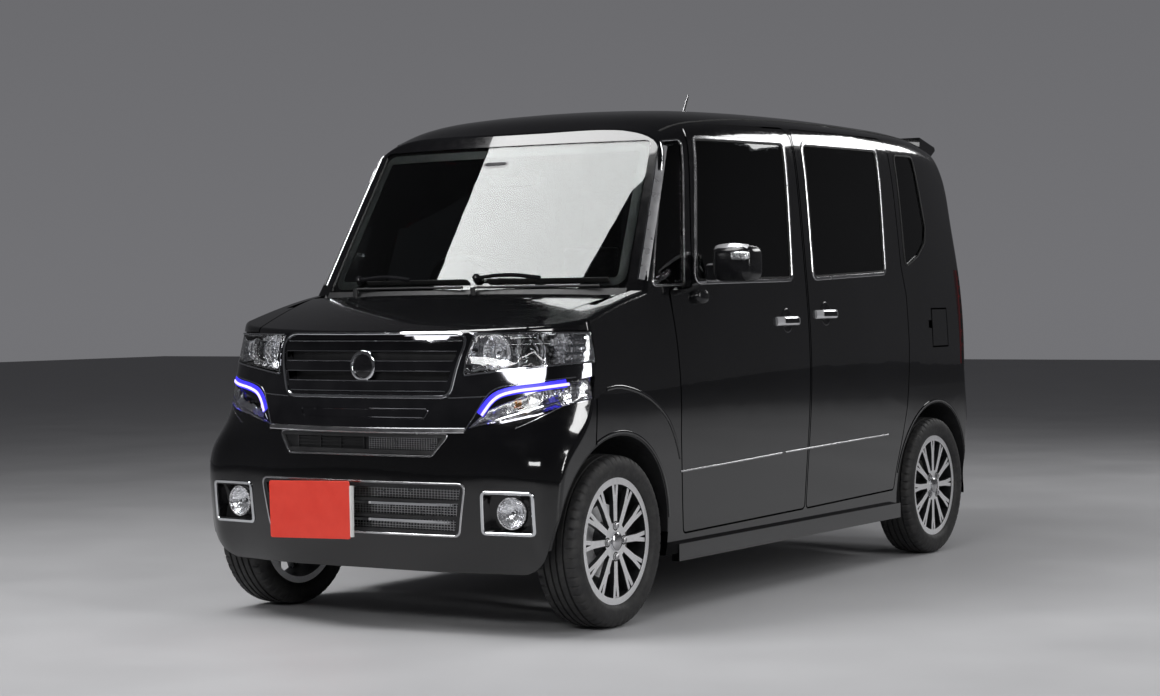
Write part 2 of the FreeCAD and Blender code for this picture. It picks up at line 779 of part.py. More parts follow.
def front_cut(points, shrink=0.0):
    """A prism through the nose on a sharp outline in the front view."""
    return front_prism(points, -y_far, -half_base, 0.0, shrink)


# Nose panels


def bonnet_zone(grow):
    """A prism down through the bonnet, its outline grown by a gap."""
    side = s.bonnet_rear_half + grow
    front = s.bonnet_front_half + grow
    rear = -s.bonnet_rear_reach + s.bonnet_rear_bow + grow
    low = s.lamp_top_high - grow
    back = spline([(side, rear, low), (0, -s.bonnet_rear_reach + grow, low), (-side, rear, low)])
    corners = [
        (-side, rear, low), (-front, -s.bonnet_front_reach, low), (-front, -y_far, low),
        (front, -y_far, low), (front, -s.bonnet_front_reach, low), (side, rear, low),
    ]
    edges = [line(a, b) for a, b in zip(corners, corners[1:])]
    return Part.Face(Part.Wire(edges + [back])).extrude(Vector(0, 0, s.body_high / 4))


bonnet_shape = nose_outer.common(bonnet_zone(0)).cut(skin_back)
fender_left = nose_left.common(side_cut(FENDER_SHARES)).cut(skin_back).cut(bonnet_zone(gap)).cut(front_arch)
cowl_low = s.belt_high - s.door_thick
cowl_box = box(-s.bonnet_rear_half, s.bonnet_rear_half, -half_base, -s.bulkhead_reach, cowl_low, z_far)
fender_left = fender_left.cut(box(0, s.bonnet_rear_half + gap, -half_base, 0, cowl_low, z_far))
cowl = bumper_back.cut(grille_back).common(cowl_box).cut(bonnet_zone(gap)).cut(cabin_outer)
cowl = largest(cowl)
bumper_end = -s.signal_side_reach + s.corner_round
bumper_front = box(-x_far, x_far, -y_far, bumper_end, s.sill_base_high, s.body_high)
bumper_low = front_points(BUMPER_TOP_SHARES)
bumper_points = bumper_low + [(x_far, s.sill_base_high), (-x_far, s.sill_base_high)] + [
    (-x, z) for x, z in reversed(bumper_low[1:])
]
bumper_prism = front_cut(bumper_points)
slot_points = trapezium(s.slot_base_half, s.slot_top_half, s.slot_base_high, s.slot_top_high)
intake_points = trapezium(s.intake_base_half, s.intake_top_half, s.intake_base_high, s.intake_top_high)
fog_points = [
    (s.fog_inner_half, s.fog_base_high), (s.fog_inner_half, s.fog_top_high),
    (s.fog_outer_half, s.fog_top_high), (s.fog_outer_half, s.fog_base_high),
]
grille_points = trapezium(s.grille_base_half, s.grille_top_half, s.grille_base_high, s.grille_top_high)
slot_prism = front_prism(slot_points, -y_far, -half_base, s.window_round / 3)
intake_prism = front_prism(intake_points, -y_far, -half_base, s.window_round / 2)
fog_prism = both(front_prism(fog_points, -y_far, -half_base, s.window_round / 2))
grille_prism = front_prism(grille_points, -y_far, -half_base, s.window_round)
arches = both(front_arch)
bumper = nose_outer.common(bumper_prism).common(bumper_front)
for cutter in (slot_prism, intake_prism, fog_prism, arches, bumper_back):
    bumper = bumper.cut(cutter)
lamp_front = box(-x_far, x_far, -y_far, -s.lamp_side_reach, s.sill_base_high, s.lamp_top_high)
signal_front = box(-x_far, x_far, -y_far, -s.signal_side_reach, s.sill_base_high, s.lamp_top_high)
headlamp_prism = both(front_cut(front_points(HEADLAMP_SHARES)))
signal_prism = both(front_cut(front_points(SIGNAL_SHARES)))
headlamps = nose_outer.common(headlamp_prism).common(lamp_front).cut(lamp_back)
signals = nose_outer.common(signal_prism).common(signal_front).cut(lamp_back)
garnish = nose_outer.common(lamp_front).cut(bumper_back)
for cutter in (bumper_prism, headlamp_prism, signal_prism, grille_prism):
    garnish = garnish.cut(cutter)
for panel in (bumper, garnish):
    nearer = panel.common(left_side)
    fender_left = fender_left.cut(nearer)
    nearer.translate(Vector(0, gap, 0))
    fender_left = fender_left.cut(nearer)
fender_left = largest(fender_left)

bar_step = (s.grille_top_high - s.grille_base_high) / s.grille_bar_count
grille_bars = [
    (s.grille_base_high + bar_step * (i + 0.5) - s.grille_bar_high / 2,
     s.grille_base_high + bar_step * (i + 0.5) + s.grille_bar_high / 2)
    for i in range(int(s.grille_bar_count))
]
grille = framed_grille(grille_points, s.window_round, grille_bars, grille_back, grille_front)
intake_third = (s.intake_top_high - s.intake_base_high) / 3
intake_bars = [
    (s.intake_base_high + intake_third * i - s.intake_bar_high / 2,
     s.intake_base_high + intake_third * i + s.intake_bar_high / 2)
    for i in (1, 2)
]
behind_flat = box(-x_far, x_far, -half_long + s.grille_panel_deep + s.skin_thick, 0, 0, z_far)
panel_flat = box(-x_far, x_far, -half_long + s.grille_panel_deep, 0, 0, z_far)
intake = framed_grille(intake_points, s.window_round / 2, intake_bars, behind_flat, panel_flat)
slot = framed_grille(slot_points, s.window_round / 3, [], behind_flat, panel_flat)
fog_x, fog_z = (s.fog_inner_half + s.fog_outer_half) / 2, (s.fog_base_high + s.fog_top_high) / 2
fog_middle = Vector(fog_x, -half_long, fog_z)
fog_surround = framed_grille(fog_points, s.window_round / 2, [], grille_back, grille_front)
fog_radius = (s.fog_top_high - s.fog_base_high) / 2 - s.grille_rim * FOG_RIM_SHARE
fog_bulb = Part.makeCylinder(fog_radius, half_long - half_base, fog_middle, ALONG_Y)
fog_lamp = fog_surround.fuse(skin_back.common(fog_bulb).cut(grille_back)).cut(front_arch)

add("front_bumper", bumper)
add("headlamps", headlamps)
add("signal_lamps", signals)
add("front_garnish", garnish)
add("grille", grille)
add("bumper_grilles", Part.makeCompound([intake, slot]))
add("fog_lamps", both(fog_lamp))

# Cabin panels

roof_panel = cabin_outer.common(roof_zone).cut(cabin_hollow).cut(screen_cut)
bulkhead = cabin_outer.common(bulkhead_zone).cut(cabin_hollow).cut(arches).fuse(cowl)
tailgate_wall = cabin_outer.common(tailgate_zone).cut(cabin_hollow)
tail_glass_top_half = s.tail_glass_half_wide - s.corner_round * 2
tail_glass_points = trapezium(
    s.tail_glass_half_wide, tail_glass_top_half, s.tail_glass_base_high, s.tail_glass_top_high,
)
tail_glass_cut = front_prism(tail_glass_points, half_base, y_far, s.window_round)
tail_glass_zone = front_prism(tail_glass_points, half_base, y_far, s.window_round, fit)
tailgate = tailgate_wall.cut(tail_glass_cut)
bumper_side = box(
    -x_far, x_far, half_base * REAR_BUMPER_SHARE, y_far, s.sill_base_high + s.floor_thick, s.rear_bumper_side_high,
)
bumper_rear = box(
    -s.tailgate_half_wide, s.tailgate_half_wide, half_base, y_far,
    s.tailgate_base_high - gap, s.rear_bumper_side_high + over,
)
bumper_inner_half = half_wide - s.bumper_thick * BUMPER_SIDE_SHARE
bumper_plan = [
    (bumper_inner_half, 0), (bumper_inner_half, half_long - s.tail_thick * 2),
    (s.tailgate_half_wide, half_long - s.tail_thick * BUMPER_CORNER_SHARE), (0, half_long - s.tail_thick),
]
bumper_plan += [(-x, y) for x, y in reversed(bumper_plan[:-1])]
bumper_face = Part.Face(Part.makePolygon([Vector(x, y, 0) for x, y in bumper_plan + bumper_plan[:1]]))
bumper_hollow = bumper_face.extrude(Vector(0, 0, s.body_high))
rear_bumper = cabin_outer.common(bumper_side).cut(bumper_rear).cut(bumper_hollow)
for cutter in (slide_door_cut, mirrored(slide_door_cut), rear_arch, mirrored(rear_arch)):
    rear_bumper = rear_bumper.cut(cutter)
lamp_box = box(
    s.tailgate_half_wide, x_far, s.tail_lamp_reach, y_far, s.tail_lamp_base_high, s.tail_lamp_top_high
)
tail_lamp = cabin_left.common(lamp_box)
side_wall = cabin_left.common(box(0, x_far, -y_far, y_far, s.sill_base_high, z_far)).cut(cabin_hollow)
rear_panel_box = box(-s.tailgate_half_wide, s.tailgate_half_wide, half_base, y_far, 0, s.tailgate_base_high)
roof_cut = box(0, s.roof_half_wide, -y_far, s.tailgate_reach, s.screen_glass_top_high, z_far)
under_bulkhead = box(0, s.floor_half, -y_far, -half_base / 2, 0, s.screen_base_high)
bumper_shell = bumper_side.cut(bumper_hollow).cut(bumper_rear)
for cutter in (
    roof_cut, tailgate_cut, under_bulkhead, rear_panel_box, lamp_box, bumper_shell,
    front_door_cut, slide_door_cut, screen_cut, front_quarter_cut, rear_quarter_cut, rear_arch, front_arch,
    fender_left,
):
    side_wall = side_wall.cut(cutter)
slide_door = cabin_left.common(slide_door_zone).cut(cabin_hollow).cut(slide_glass_cut)
seal_hollow = flat_tube(s.seal_deep, s.seal_deep)
front_door_core = side_prism(FRONT_DOOR_SHARES, s.corner_round, gap + s.seal_step)
front_door = cabin_left.common(front_door_zone).cut(seal_hollow)
front_door = front_door.fuse(cabin_left.common(front_door_core).cut(cabin_hollow)).cut(front_glass_cut)


# Hinges with a vertical axis on the car's left: their arms go in, back and out into the moving panel

def upright(radius, x, y, low, top):
    return Part.makeCylinder(radius, top - low, Vector(x, y, low))


def hinge_arm(x, y, low, top, eye, pin, reach, thick, run, out):
    """An arm turning about an upright pin, with its last leg run out to x equal to out."""
    inner = x - reach - thick
    arm = upright(eye, x, y, low, top)
    arm = arm.fuse(box(inner, x, y - thick / 2, y + thick / 2, low, top))
    arm = arm.fuse(box(inner, inner + thick, y - thick / 2, y + run, low, top))
    arm = arm.fuse(box(inner, out, y + run - thick, y + run, low, top))
    return arm.cut(upright(pin + s.spindle_gap, x, y, low, top))


hinge_x = half_wide - s.hinge_inside
hinge_edge = FRONT_DOOR_SHARES[3][0] * s.wheelbase
hinge_y = hinge_edge - s.hinge_ahead
hinge_sweep = (s.hinge_inside**2 + s.hinge_ahead**2)**0.5 + s.hinge_clear
front_door = front_door.cut(upright(hinge_sweep, hinge_x, hinge_y, 0, s.belt_high + s.hinge_room))
for high in (s.hinge_low_high, s.hinge_top_high):
    low, top = high - s.hinge_arm_high / 2, high + s.hinge_arm_high / 2
    pocket_low, pocket_top = low - s.hinge_room, top + s.hinge_room
    pocket = box(
        s.roof_half_wide, hinge_x + s.hinge_eye_radius + s.hinge_room,
        hinge_y - s.hinge_eye_radius - s.hinge_room, 0, pocket_low, pocket_top,
    )
    side_wall = side_wall.cut(pocket)
    fender_left = fender_left.cut(pocket)
    bulkhead = bulkhead.cut(both(pocket))
    side_wall = side_wall.fuse(
        upright(s.hinge_pin_radius, hinge_x, hinge_y, pocket_low - s.hinge_room, pocket_top + s.hinge_room)
    )
    front_door = front_door.fuse(hinge_arm(
        hinge_x, hinge_y, low, top, s.hinge_eye_radius, s.hinge_pin_radius, s.hinge_reach, s.hinge_arm_thick,
        s.hinge_run, half_wide - s.door_thick + s.hinge_inside,
    ))
for y in (-s.jack_front_reach, s.jack_rear_reach):
    side_wall = side_wall.fuse(box(
        s.jack_inner_half, s.jack_inner_half + s.jack_wide, y - s.jack_long / 2, y + s.jack_long / 2,
        s.jack_base_high, s.sill_base_high + gap,
    ))
side_wall = largest(side_wall)

fender_left = fender_left.cut(side_wall).cut(front_door_cut)
bulkhead = bulkhead.cut(both(front_door_cut))
add("front_fenders", both(largest(fender_left)))

# Fuel lid on the left rear quarter

lid_low, lid_top = s.lid_high - s.lid_tall / 2, s.lid_high + s.lid_tall / 2
lid_front, lid_rear = s.lid_reach - s.lid_wide / 2, s.lid_reach + s.lid_wide / 2
lid_x, lid_y = half_wide - s.lid_inside, lid_front - s.lid_ahead
lid_back = half_wide - s.lid_thick
lid = cabin_left.common(box(lid_back, x_far, lid_front, lid_rear, lid_low, lid_top))
lid_pocket = box(half_wide - s.lid_room, x_far, lid_front - gap, lid_rear + gap, lid_low - gap, lid_top + gap)
lid_sweep = (s.lid_inside**2 + (s.lid_ahead - gap)**2)**0.5 + s.hinge_clear
arm_low, arm_top = s.lid_high - s.lid_arm_high / 2, s.lid_high + s.lid_arm_high / 2
arm_pocket = box(
    half_wide - s.lid_room, lid_x + s.lid_eye_radius + s.hinge_clear, lid_y - s.lid_eye_radius - s.hinge_room,
    lid_front, arm_low - s.hinge_room, arm_top + s.hinge_room,
)
lid = lid.cut(upright(lid_sweep, lid_x, lid_y, lid_low, lid_top))
lid = lid.fuse(hinge_arm(
    lid_x, lid_y, arm_low, arm_top, s.lid_eye_radius, s.lid_pin_radius, s.lid_arm_reach, s.lid_arm_thick,
    s.lid_arm_run, lid_back + s.lid_pin_radius,
))
left_wall = side_wall.cut(lid_pocket).cut(arm_pocket).fuse(
    upright(s.lid_pin_radius, lid_x, lid_y, arm_low - 2 * s.hinge_room, arm_top + 2 * s.hinge_room)
)

# Bonnet hinges under the cowl

def across(radius, y, z, x_low, x_top):
    """A cylinder along X."""
    return Part.makeCylinder(radius, x_top - x_low, Vector(x_low, y, z), ALONG_X)


def plate_yz(points, x_low, x_top):
    """A plate on an outline in the side view, given as y and z."""
    corners = [Vector(x_low, y, z) for y, z in points]
    return Part.Face(Part.makePolygon(corners + corners[:1])).extrude(Vector(x_top - x_low, 0, 0))


bonnet_y, bonnet_z = -s.bonnet_hinge_reach, s.bonnet_hinge_high
arm_x = s.bonnet_hinge_half - s.hinge_arm_thick / 2
arm_far = arm_x + s.hinge_arm_thick
half_neck, drop, run = s.hinge_eye_radius, s.bonnet_arm_drop, s.bonnet_arm_run
leg = s.hinge_arm_thick
bonnet_arm = plate_yz([
    (bonnet_y - half_neck, bonnet_z), (bonnet_y - half_neck, bonnet_z - drop),
    (bonnet_y - run + leg, bonnet_z - drop), (bonnet_y - run + leg, bonnet_z + 2 * leg),
    (bonnet_y - run, bonnet_z + 2 * leg), (bonnet_y - run, bonnet_z - drop - leg),
    (bonnet_y + half_neck, bonnet_z - drop - leg), (bonnet_y + half_neck, bonnet_z),
], arm_x, arm_far)
bonnet_arm = bonnet_arm.fuse(across(s.hinge_eye_radius, bonnet_y, bonnet_z, arm_x, arm_far))
bonnet_arm = bonnet_arm.cut(across(s.hinge_pin_radius + s.spindle_gap, bonnet_y, bonnet_z, arm_x, arm_far))
bracket_x = arm_far + s.hinge_room
bracket_high = s.hinge_eye_radius + s.tail_lug_gap
bracket = box(
    bracket_x, bracket_x + 2 * leg, bonnet_y - bracket_high, -s.bulkhead_reach + over,
    bonnet_z - bracket_high, bonnet_z + bracket_high,
)
bonnet_pin = across(s.hinge_pin_radius, bonnet_y, bonnet_z, arm_x - leg / 2, bracket_x + leg)
cowl_notch = box(
    arm_x - leg, bracket_x, bonnet_y - run - leg, bonnet_y + 2 * leg,
    bonnet_z - s.door_thick, bonnet_z + 2 * leg,
)
bulkhead = bulkhead.cut(both(cowl_notch)).fuse(both(bracket.fuse(bonnet_pin)))
bonnet_shape = bonnet_shape.fuse(both(bonnet_arm))

# Tailgate hinges at the roof's rear edge

def skin_high(x, y):
    """The height of the roof's skin above a point."""
    ray = line((x, y, s.belt_high), (x, y, z_far))
    return ray.common(cabin_outer).BoundBox.ZMax


tail_y = s.tailgate_reach - gap / 2
tail_z = skin_high(0, tail_y)
eye_low, eye_top = s.tail_hinge_half - s.tail_hinge_wide / 2, s.tail_hinge_half + s.tail_hinge_wide / 2
eye_room = s.hinge_eye_radius + s.hinge_clear
roof_notch = across(eye_room, tail_y, tail_z, eye_low - s.tail_lug_gap, eye_top + s.tail_lug_gap)
tail_bore = across(s.hinge_pin_radius + s.spindle_gap, tail_y, tail_z, eye_low, eye_top)
tail_eye = across(s.hinge_eye_radius, tail_y, tail_z, eye_low, eye_top)
tail_eye = tail_eye.fuse(box(
    eye_low, eye_top, tail_y, s.tailgate_reach + s.corner_round, tail_z - s.corner_round, tail_z - s.hinge_room,
)).cut(tail_bore)
roof_lugs, lug_rooms = [], [tail_bore]
for lug_low in (eye_low - s.tail_lug_gap - s.tail_lug_wide, eye_top + s.tail_lug_gap):
    lug_top = lug_low + s.tail_lug_wide
    lug = across(s.hinge_eye_radius, tail_y, tail_z, lug_low, lug_top)
    roof_lugs.append(lug.fuse(box(
        lug_low, lug_top, tail_y - s.corner_round, tail_y, tail_z - s.corner_round, tail_z - s.hinge_room,
    )))
    lug_rooms.append(across(eye_room, tail_y, tail_z, lug_low - s.tail_lug_gap, lug_top + s.tail_lug_gap))
tail_pin = across(
    s.hinge_pin_radius, tail_y, tail_z, eye_low - s.tail_lug_gap - s.tail_lug_wide,
    eye_top + s.tail_lug_gap + s.tail_lug_wide,
)
roof_panel = roof_panel.cut(both(roof_notch))
for shape in roof_lugs + [tail_pin]:
    roof_panel = roof_panel.fuse(both(shape))
for shape in lug_rooms:
    tailgate = tailgate.cut(both(shape))
tailgate = tailgate.fuse(both(tail_eye))


def pane(zone):
    """A sheet of glass that follows the body's skin within a prism."""
    return glass_outer.common(zone).cut(glass_inner)


add("bonnet", bonnet_shape)
add("fuel_lid", lid)
add("roof_panel", roof_panel)
add("side_frames", Part.makeCompound(left_wall.Solids + mirrored(side_wall).Solids))
add("bulkhead", bulkhead)
add("windscreen", pane(screen_zone))
add("side_glass", both(Part.makeCompound([
    pane(front_quarter_zone), pane(slide_glass_zone), pane(rear_quarter_zone),
])))
add("slide_doors", both(slide_door))
add("front_door_left", front_door)
add("front_door_right", mirrored(front_door))
front_pane = pane(front_glass_zone)
add("front_door_glass_left", front_pane)
add("front_door_glass_right", mirrored(front_pane))
add("tailgate", tailgate)
add("tailgate_glass", pane(tail_glass_zone))
add("rear_bumper", rear_bumper)
add("tail_lamps", both(tail_lamp))


# Wheels, with their axle along X and their middle at the origin

def revolved(points):
    """A solid turned about the X axis from points given as x and radius."""
    corners = [Vector(x, 0, r) for x, r in points]
    return Part.Face(Part.makePolygon(corners + corners[:1])).revolve(ORIGIN, ALONG_X, 360)


lip_out = s.rim_wide / 2
lip_in = lip_out - s.rim_wall
half_tyre = s.tyre_wide / 2
tyre_half = [
    (lip_in - fit, s.bead_radius + fit), (lip_in - fit, s.rim_lip_radius + fit),
    (half_tyre, (s.rim_lip_radius + s.tyre_radius) / 2 - s.rim_wall), (half_tyre * 0.78, s.tyre_radius),
]
tyre_shape = revolved(tyre_half + [(-x, r) for x, r in reversed(tyre_half)])
rim_inner = s.bead_radius - s.rim_wall
rim_shape = revolved([
    (-lip_out, rim_inner), (-lip_out, s.rim_lip_radius),
    (-lip_in, s.rim_lip_radius), (-lip_in, s.bead_radius),
    (lip_in, s.bead_radius), (lip_in, s.rim_lip_radius), (lip_out, s.rim_lip_radius), (lip_out, rim_inner),
])
spoke_front = lip_out - s.rim_wall / 2
fork = s.spoke_wide * FORK_SHARE
spoke_root, spoke_end = s.hub_radius * SPOKE_ROOT_SHARE, rim_inner + s.rim_wall / 2
fork_start, fork_crotch = s.rim_lip_radius * FORK_SHARE, s.rim_lip_radius * CROTCH_SHARE
spoke_outline = [
    (-s.spoke_wide / 2, spoke_root), (s.spoke_wide / 2, spoke_root),
    (fork, fork_start), (s.spoke_wide, spoke_end),
    (fork * FORK_GAP_SHARE, spoke_end), (0, fork_crotch),
    (-fork * FORK_GAP_SHARE, spoke_end), (-s.spoke_wide, spoke_end),
    (-fork, fork_start),
]
spoke_corners = [Vector(spoke_front - s.spoke_thick, y, z) for y, z in spoke_outline]
spoke = Part.Face(Part.makePolygon(spoke_corners + spoke_corners[:1])).extrude(Vector(s.spoke_thick, 0, 0))
for i in range(int(s.spoke_count)):
    turned = spoke.copy()
    turned.rotate(ORIGIN, ALONG_X, 360 * i / s.spoke_count)
    rim_shape = rim_shape.fuse(turned)
hub_back = spoke_front - s.spoke_thick - s.hub_thick
hub = Part.makeCylinder(s.hub_radius, spoke_front - hub_back, Vector(hub_back, 0, 0), ALONG_X)
rim_shape = rim_shape.fuse(hub)
disc_back = hub_back - s.disc_thick
front_rim = rim_shape.fuse(Part.makeCylinder(s.disc_radius, s.disc_thick, Vector(disc_back, 0, 0), ALONG_X))
bore_deep = s.hub_thick / 2
bore_length = hub_back + bore_deep - disc_back + over
front_rim = front_rim.cut(
    Part.makeCylinder(s.spindle_radius + s.spindle_gap, bore_length, Vector(disc_back - over, 0, 0), ALONG_X)
)
rear_rim = rim_shape.cut(
    Part.makeCylinder(s.spindle_radius + s.spindle_gap, bore_deep + over, Vector(hub_back - over, 0, 0), ALONG_X)
)
wheel_x = s.track_wide / 2
for end, y, rim in (("front", -half_base, front_rim), ("rear", half_base, rear_rim)):
    for side, sign in (("left", 1), ("right", -1)):
        place = Placement(Vector(sign * wheel_x, y, s.tyre_radius), Rotation())
        add(f"tyre_{end}_{side}", tyre_shape.copy() if sign > 0 else mirrored(tyre_shape), place)
        add(f"rim_{end}_{side}", rim.copy() if sign > 0 else mirrored(rim), place)

# Front knuckles, struts and arms

spindle_tip = hub_back + bore_deep - fit
king_low = Vector(s.king_pin_low_half, -half_base, s.king_pin_low_high)
king_top = Vector(s.king_pin_top_half, -half_base, s.king_pin_top_high)
king_axis = (king_top - king_low).normalize()
king_long = (king_top - king_low).Length


def along_king(radius, start, end):
    """A cylinder about the steering axis between two distances from its lower ball joint."""
    return Part.makeCylinder(radius, end - start, king_low + king_axis * start, king_axis)


knuckle_in = wheel_x + disc_back - s.hub_thick * 2
knuckle_low = Vector(knuckle_in, -half_base, s.tyre_radius)
spindle = Part.makeCylinder(s.spindle_radius, wheel_x + spindle_tip - knuckle_in, knuckle_low, ALONG_X)
carrier = Part.makeCylinder(
    s.hub_radius * CARRIER_SHARE, s.hub_thick * 2 - s.hinge_room, knuckle_low, ALONG_X,
)
lower_leg = along_king(s.king_pin_radius * 2, s.arm_thick, s.king_pin_low_high)
strut_low = s.king_pin_low_high
strut = along_king(s.strut_radius, strut_low, king_long - s.spring_radius)
spring = along_king(
    s.spring_radius, king_long - s.spring_radius * SPRING_LONG_SHARE, king_long - s.spring_radius,
)
king_pin = along_king(s.king_pin_radius, -s.arm_thick, king_long)
knuckle = carrier.fuse(spindle).fuse(lower_leg).fuse(strut).fuse(spring).fuse(king_pin)
add("knuckle_left", knuckle)
add("knuckle_right", mirrored(knuckle))



# Pieces built from bound primitives

def primitive(kind, name, sizes, place, turn=None):
    """A Part primitive with its sizes and its place bound to the spreadsheet."""
    item = doc.addObject(kind, name)
    if turn:
        item.Placement = Placement(ORIGIN, turn)
    for prop, formula in sizes.items():
        item.setExpression(prop, formula)
    for letter, formula in zip("xyz", place):
        item.setExpression(f"Placement.Base.{letter}", formula)
    return item


def block(name, wide, long, tall, place):
    return primitive("Part::Box", name, {"Length": wide, "Width": long, "Height": tall}, place)


def rod(name, radius, length, place, turn=None):
    return primitive("Part::Cylinder", name, {"Radius": radius, "Height": length}, place, turn)


def union(label, members):
    fusion = doc.addObject("Part::MultiFuse", label)
    fusion.Shapes = members
    fusion.Label = label
    pieces[label] = fusion
    return fusion


TO_X = Rotation(ALONG_Y, 90)
TO_Y = Rotation(ALONG_X, -90)
pieces["engine"] = block("engine", "sizes.engine_wide", "sizes.engine_long", "sizes.engine_tall", (
    "-sizes.engine_wide / 2", "-sizes.engine_reach - sizes.engine_long / 2", "sizes.engine_base_high",
))
pieces["radiator"] = block("radiator", "sizes.radiator_wide", "sizes.radiator_thick", "sizes.radiator_tall", (
    "-sizes.radiator_wide / 2", "-sizes.radiator_reach", "sizes.radiator_base_high",
))
pieces["fuel_tank"] = block("fuel_tank", "sizes.tank_wide", "sizes.tank_long", "sizes.tank_tall", (
    "-sizes.tank_wide / 2", "sizes.tank_reach - sizes.tank_long / 2",
    "sizes.floor_high - sizes.tank_tall - sizes.fit_gap",
))
pipe_start = "-sizes.engine_reach + sizes.engine_long / 2"
union("exhaust", [
    rod("exhaust_pipe", "sizes.pipe_radius", f"sizes.pipe_rear_reach - ({pipe_start})", (
        "-sizes.pipe_side", pipe_start, "sizes.pipe_high",
    ), TO_Y),
    rod("exhaust_link", "sizes.pipe_radius", "sizes.pipe_side - sizes.engine_wide / 4", (
        "-sizes.pipe_side", pipe_start + " + sizes.pipe_radius * 2", "sizes.pipe_high",
    ), TO_X),
    rod("muffler", "sizes.muffler_radius", "sizes.muffler_long", (
        "-sizes.pipe_side - sizes.pipe_radius", "sizes.pipe_rear_reach",
        "sizes.pipe_high + sizes.muffler_radius",
    ), TO_X),
    rod("front_hanger", "sizes.pipe_radius / 3", "sizes.floor_high - sizes.pipe_high - sizes.fit_gap", (
        "-sizes.pipe_side", "-sizes.wheelbase / 4", "sizes.pipe_high",
    )),
    rod("middle_hanger", "sizes.pipe_radius / 3", "sizes.floor_high - sizes.pipe_high - sizes.fit_gap", (
        "-sizes.pipe_side", "0", "sizes.pipe_high",
    )),
    rod("tail_pipe", "sizes.pipe_radius", "sizes.pipe_side / 2", (
        "-sizes.pipe_side + sizes.pipe_radius * 2", "sizes.pipe_rear_reach",
        "sizes.pipe_high + sizes.pipe_radius * 2",
    ), TO_Y),
])
axle_items = [
    rod("twist_beam", "sizes.beam_radius", "sizes.beam_half * 2", (
        "-sizes.beam_half", "sizes.wheelbase / 2 - sizes.beam_ahead", "sizes.beam_high",
    ), TO_X),
]
for side, sign in (("left", ""), ("right", "-")):
    low_x = {"left": "sizes.beam_half - sizes.trail_wide", "right": "-sizes.beam_half"}[side]
    axle_items.append(block(
        f"trailing_arm_{side}",
        "sizes.trail_wide", "sizes.trail_ahead + sizes.stub_radius", "sizes.trail_wide",
        (low_x, "sizes.wheelbase / 2 - sizes.trail_ahead", "sizes.tyre_radius - sizes.trail_wide / 2"),
    ))
    rim_face = "(sizes.track_wide + sizes.rim_wide - sizes.rim_wall) / 2"
    hub_face = f"{rim_face} - sizes.spoke_thick - sizes.hub_thick"
    drum_out = f"({hub_face} - sizes.skin_thick / 2)"
    drum_low = {"left": f"{drum_out} - sizes.drum_wide", "right": f"-{drum_out}"}[side]
    axle_items.append(rod(f"drum_{side}", "sizes.drum_radius", "sizes.drum_wide", (
        drum_low, "sizes.wheelbase / 2", "sizes.tyre_radius",
    ), TO_X))
    stub_low = {"left": "sizes.beam_half - sizes.trail_wide", "right": f"-{drum_out}"}[side]
    axle_items.append(rod(
        f"stub_{side}", "sizes.stub_radius", f"{drum_out} - sizes.beam_half + sizes.trail_wide",
        (stub_low, "sizes.wheelbase / 2", "sizes.tyre_radius"), TO_X,
    ))
    tip = f"({hub_face} + sizes.hub_thick / 2 - sizes.fit_gap)"
    tip_low = {"left": f"{drum_out} - sizes.drum_wide", "right": f"-{tip}"}[side]
    axle_items.append(rod(
        f"spindle_{side}", "sizes.spindle_radius", f"{tip} - {drum_out} + sizes.drum_wide",
        (tip_low, "sizes.wheelbase / 2", "sizes.tyre_radius"), TO_X,
    ))
    axle_items.append(rod(
        f"coil_{side}", "sizes.coil_radius", "sizes.raised_floor_high - sizes.tyre_radius - sizes.fit_gap",
        (f"{sign}(sizes.beam_half - sizes.coil_radius)", "sizes.wheelbase / 2 - sizes.beam_ahead / 2",
         "sizes.tyre_radius"),
    ))
union("rear_axle", axle_items)

# Front frame: side members, cross member, strut towers and lower arms

rail_front, rail_rear = -s.rail_reach, -s.bulkhead_reach - fit
tower_low, tower_top = s.king_pin_top_high - s.tower_thick / 2, s.king_pin_top_high + s.tower_thick / 2
tower_front, tower_rear = -half_base - s.tower_long / 2, -half_base + s.tower_long / 2
rail_x, rail_far = s.rail_half, s.rail_half + s.rail_wide
rail = box(rail_x, rail_far, rail_front, rail_rear, s.rail_high, s.rail_high + s.rail_tall)
column = box(rail_x, rail_far, tower_front, tower_rear, s.rail_high, tower_top)
tower = box(rail_x, s.tower_half, tower_front, tower_rear, tower_low, tower_top)
hanger = box(
    s.subframe_half - s.subframe_thick, s.subframe_half, -half_base - s.subframe_thick / 2,
    -half_base + s.subframe_thick / 2, s.arm_high, s.rail_high + s.subframe_thick,
)
shelf = box(
    s.subframe_half - s.subframe_thick, rail_x + s.subframe_thick / 2, -half_base - s.subframe_thick / 2,
    -half_base + s.subframe_thick / 2, s.rail_high, s.rail_high + s.subframe_thick,
)
cross = box(
    0, s.subframe_half, -half_base - s.subframe_long / 2, -half_base + s.subframe_long / 2,
    s.arm_high - s.subframe_thick / 2, s.arm_high + s.subframe_thick / 2,
)
arm_low_z, arm_top_z = s.arm_high - s.arm_thick / 2, s.arm_high + s.arm_thick / 2
arm_corners = [
    Vector(s.subframe_half - over, -half_base - s.subframe_long / 2, arm_low_z),
    Vector(s.king_pin_low_half, -half_base - s.arm_wide / 2, arm_low_z),
    Vector(s.king_pin_low_half, -half_base + s.arm_wide / 2, arm_low_z),
    Vector(s.subframe_half - over, -half_base + s.subframe_long / 2, arm_low_z),
]
arm = Part.Face(Part.makePolygon(arm_corners + arm_corners[:1])).extrude(Vector(0, 0, s.arm_thick))
arm = arm.fuse(upright(s.arm_wide / 2, s.king_pin_low_half, -half_base, arm_low_z, arm_top_z))
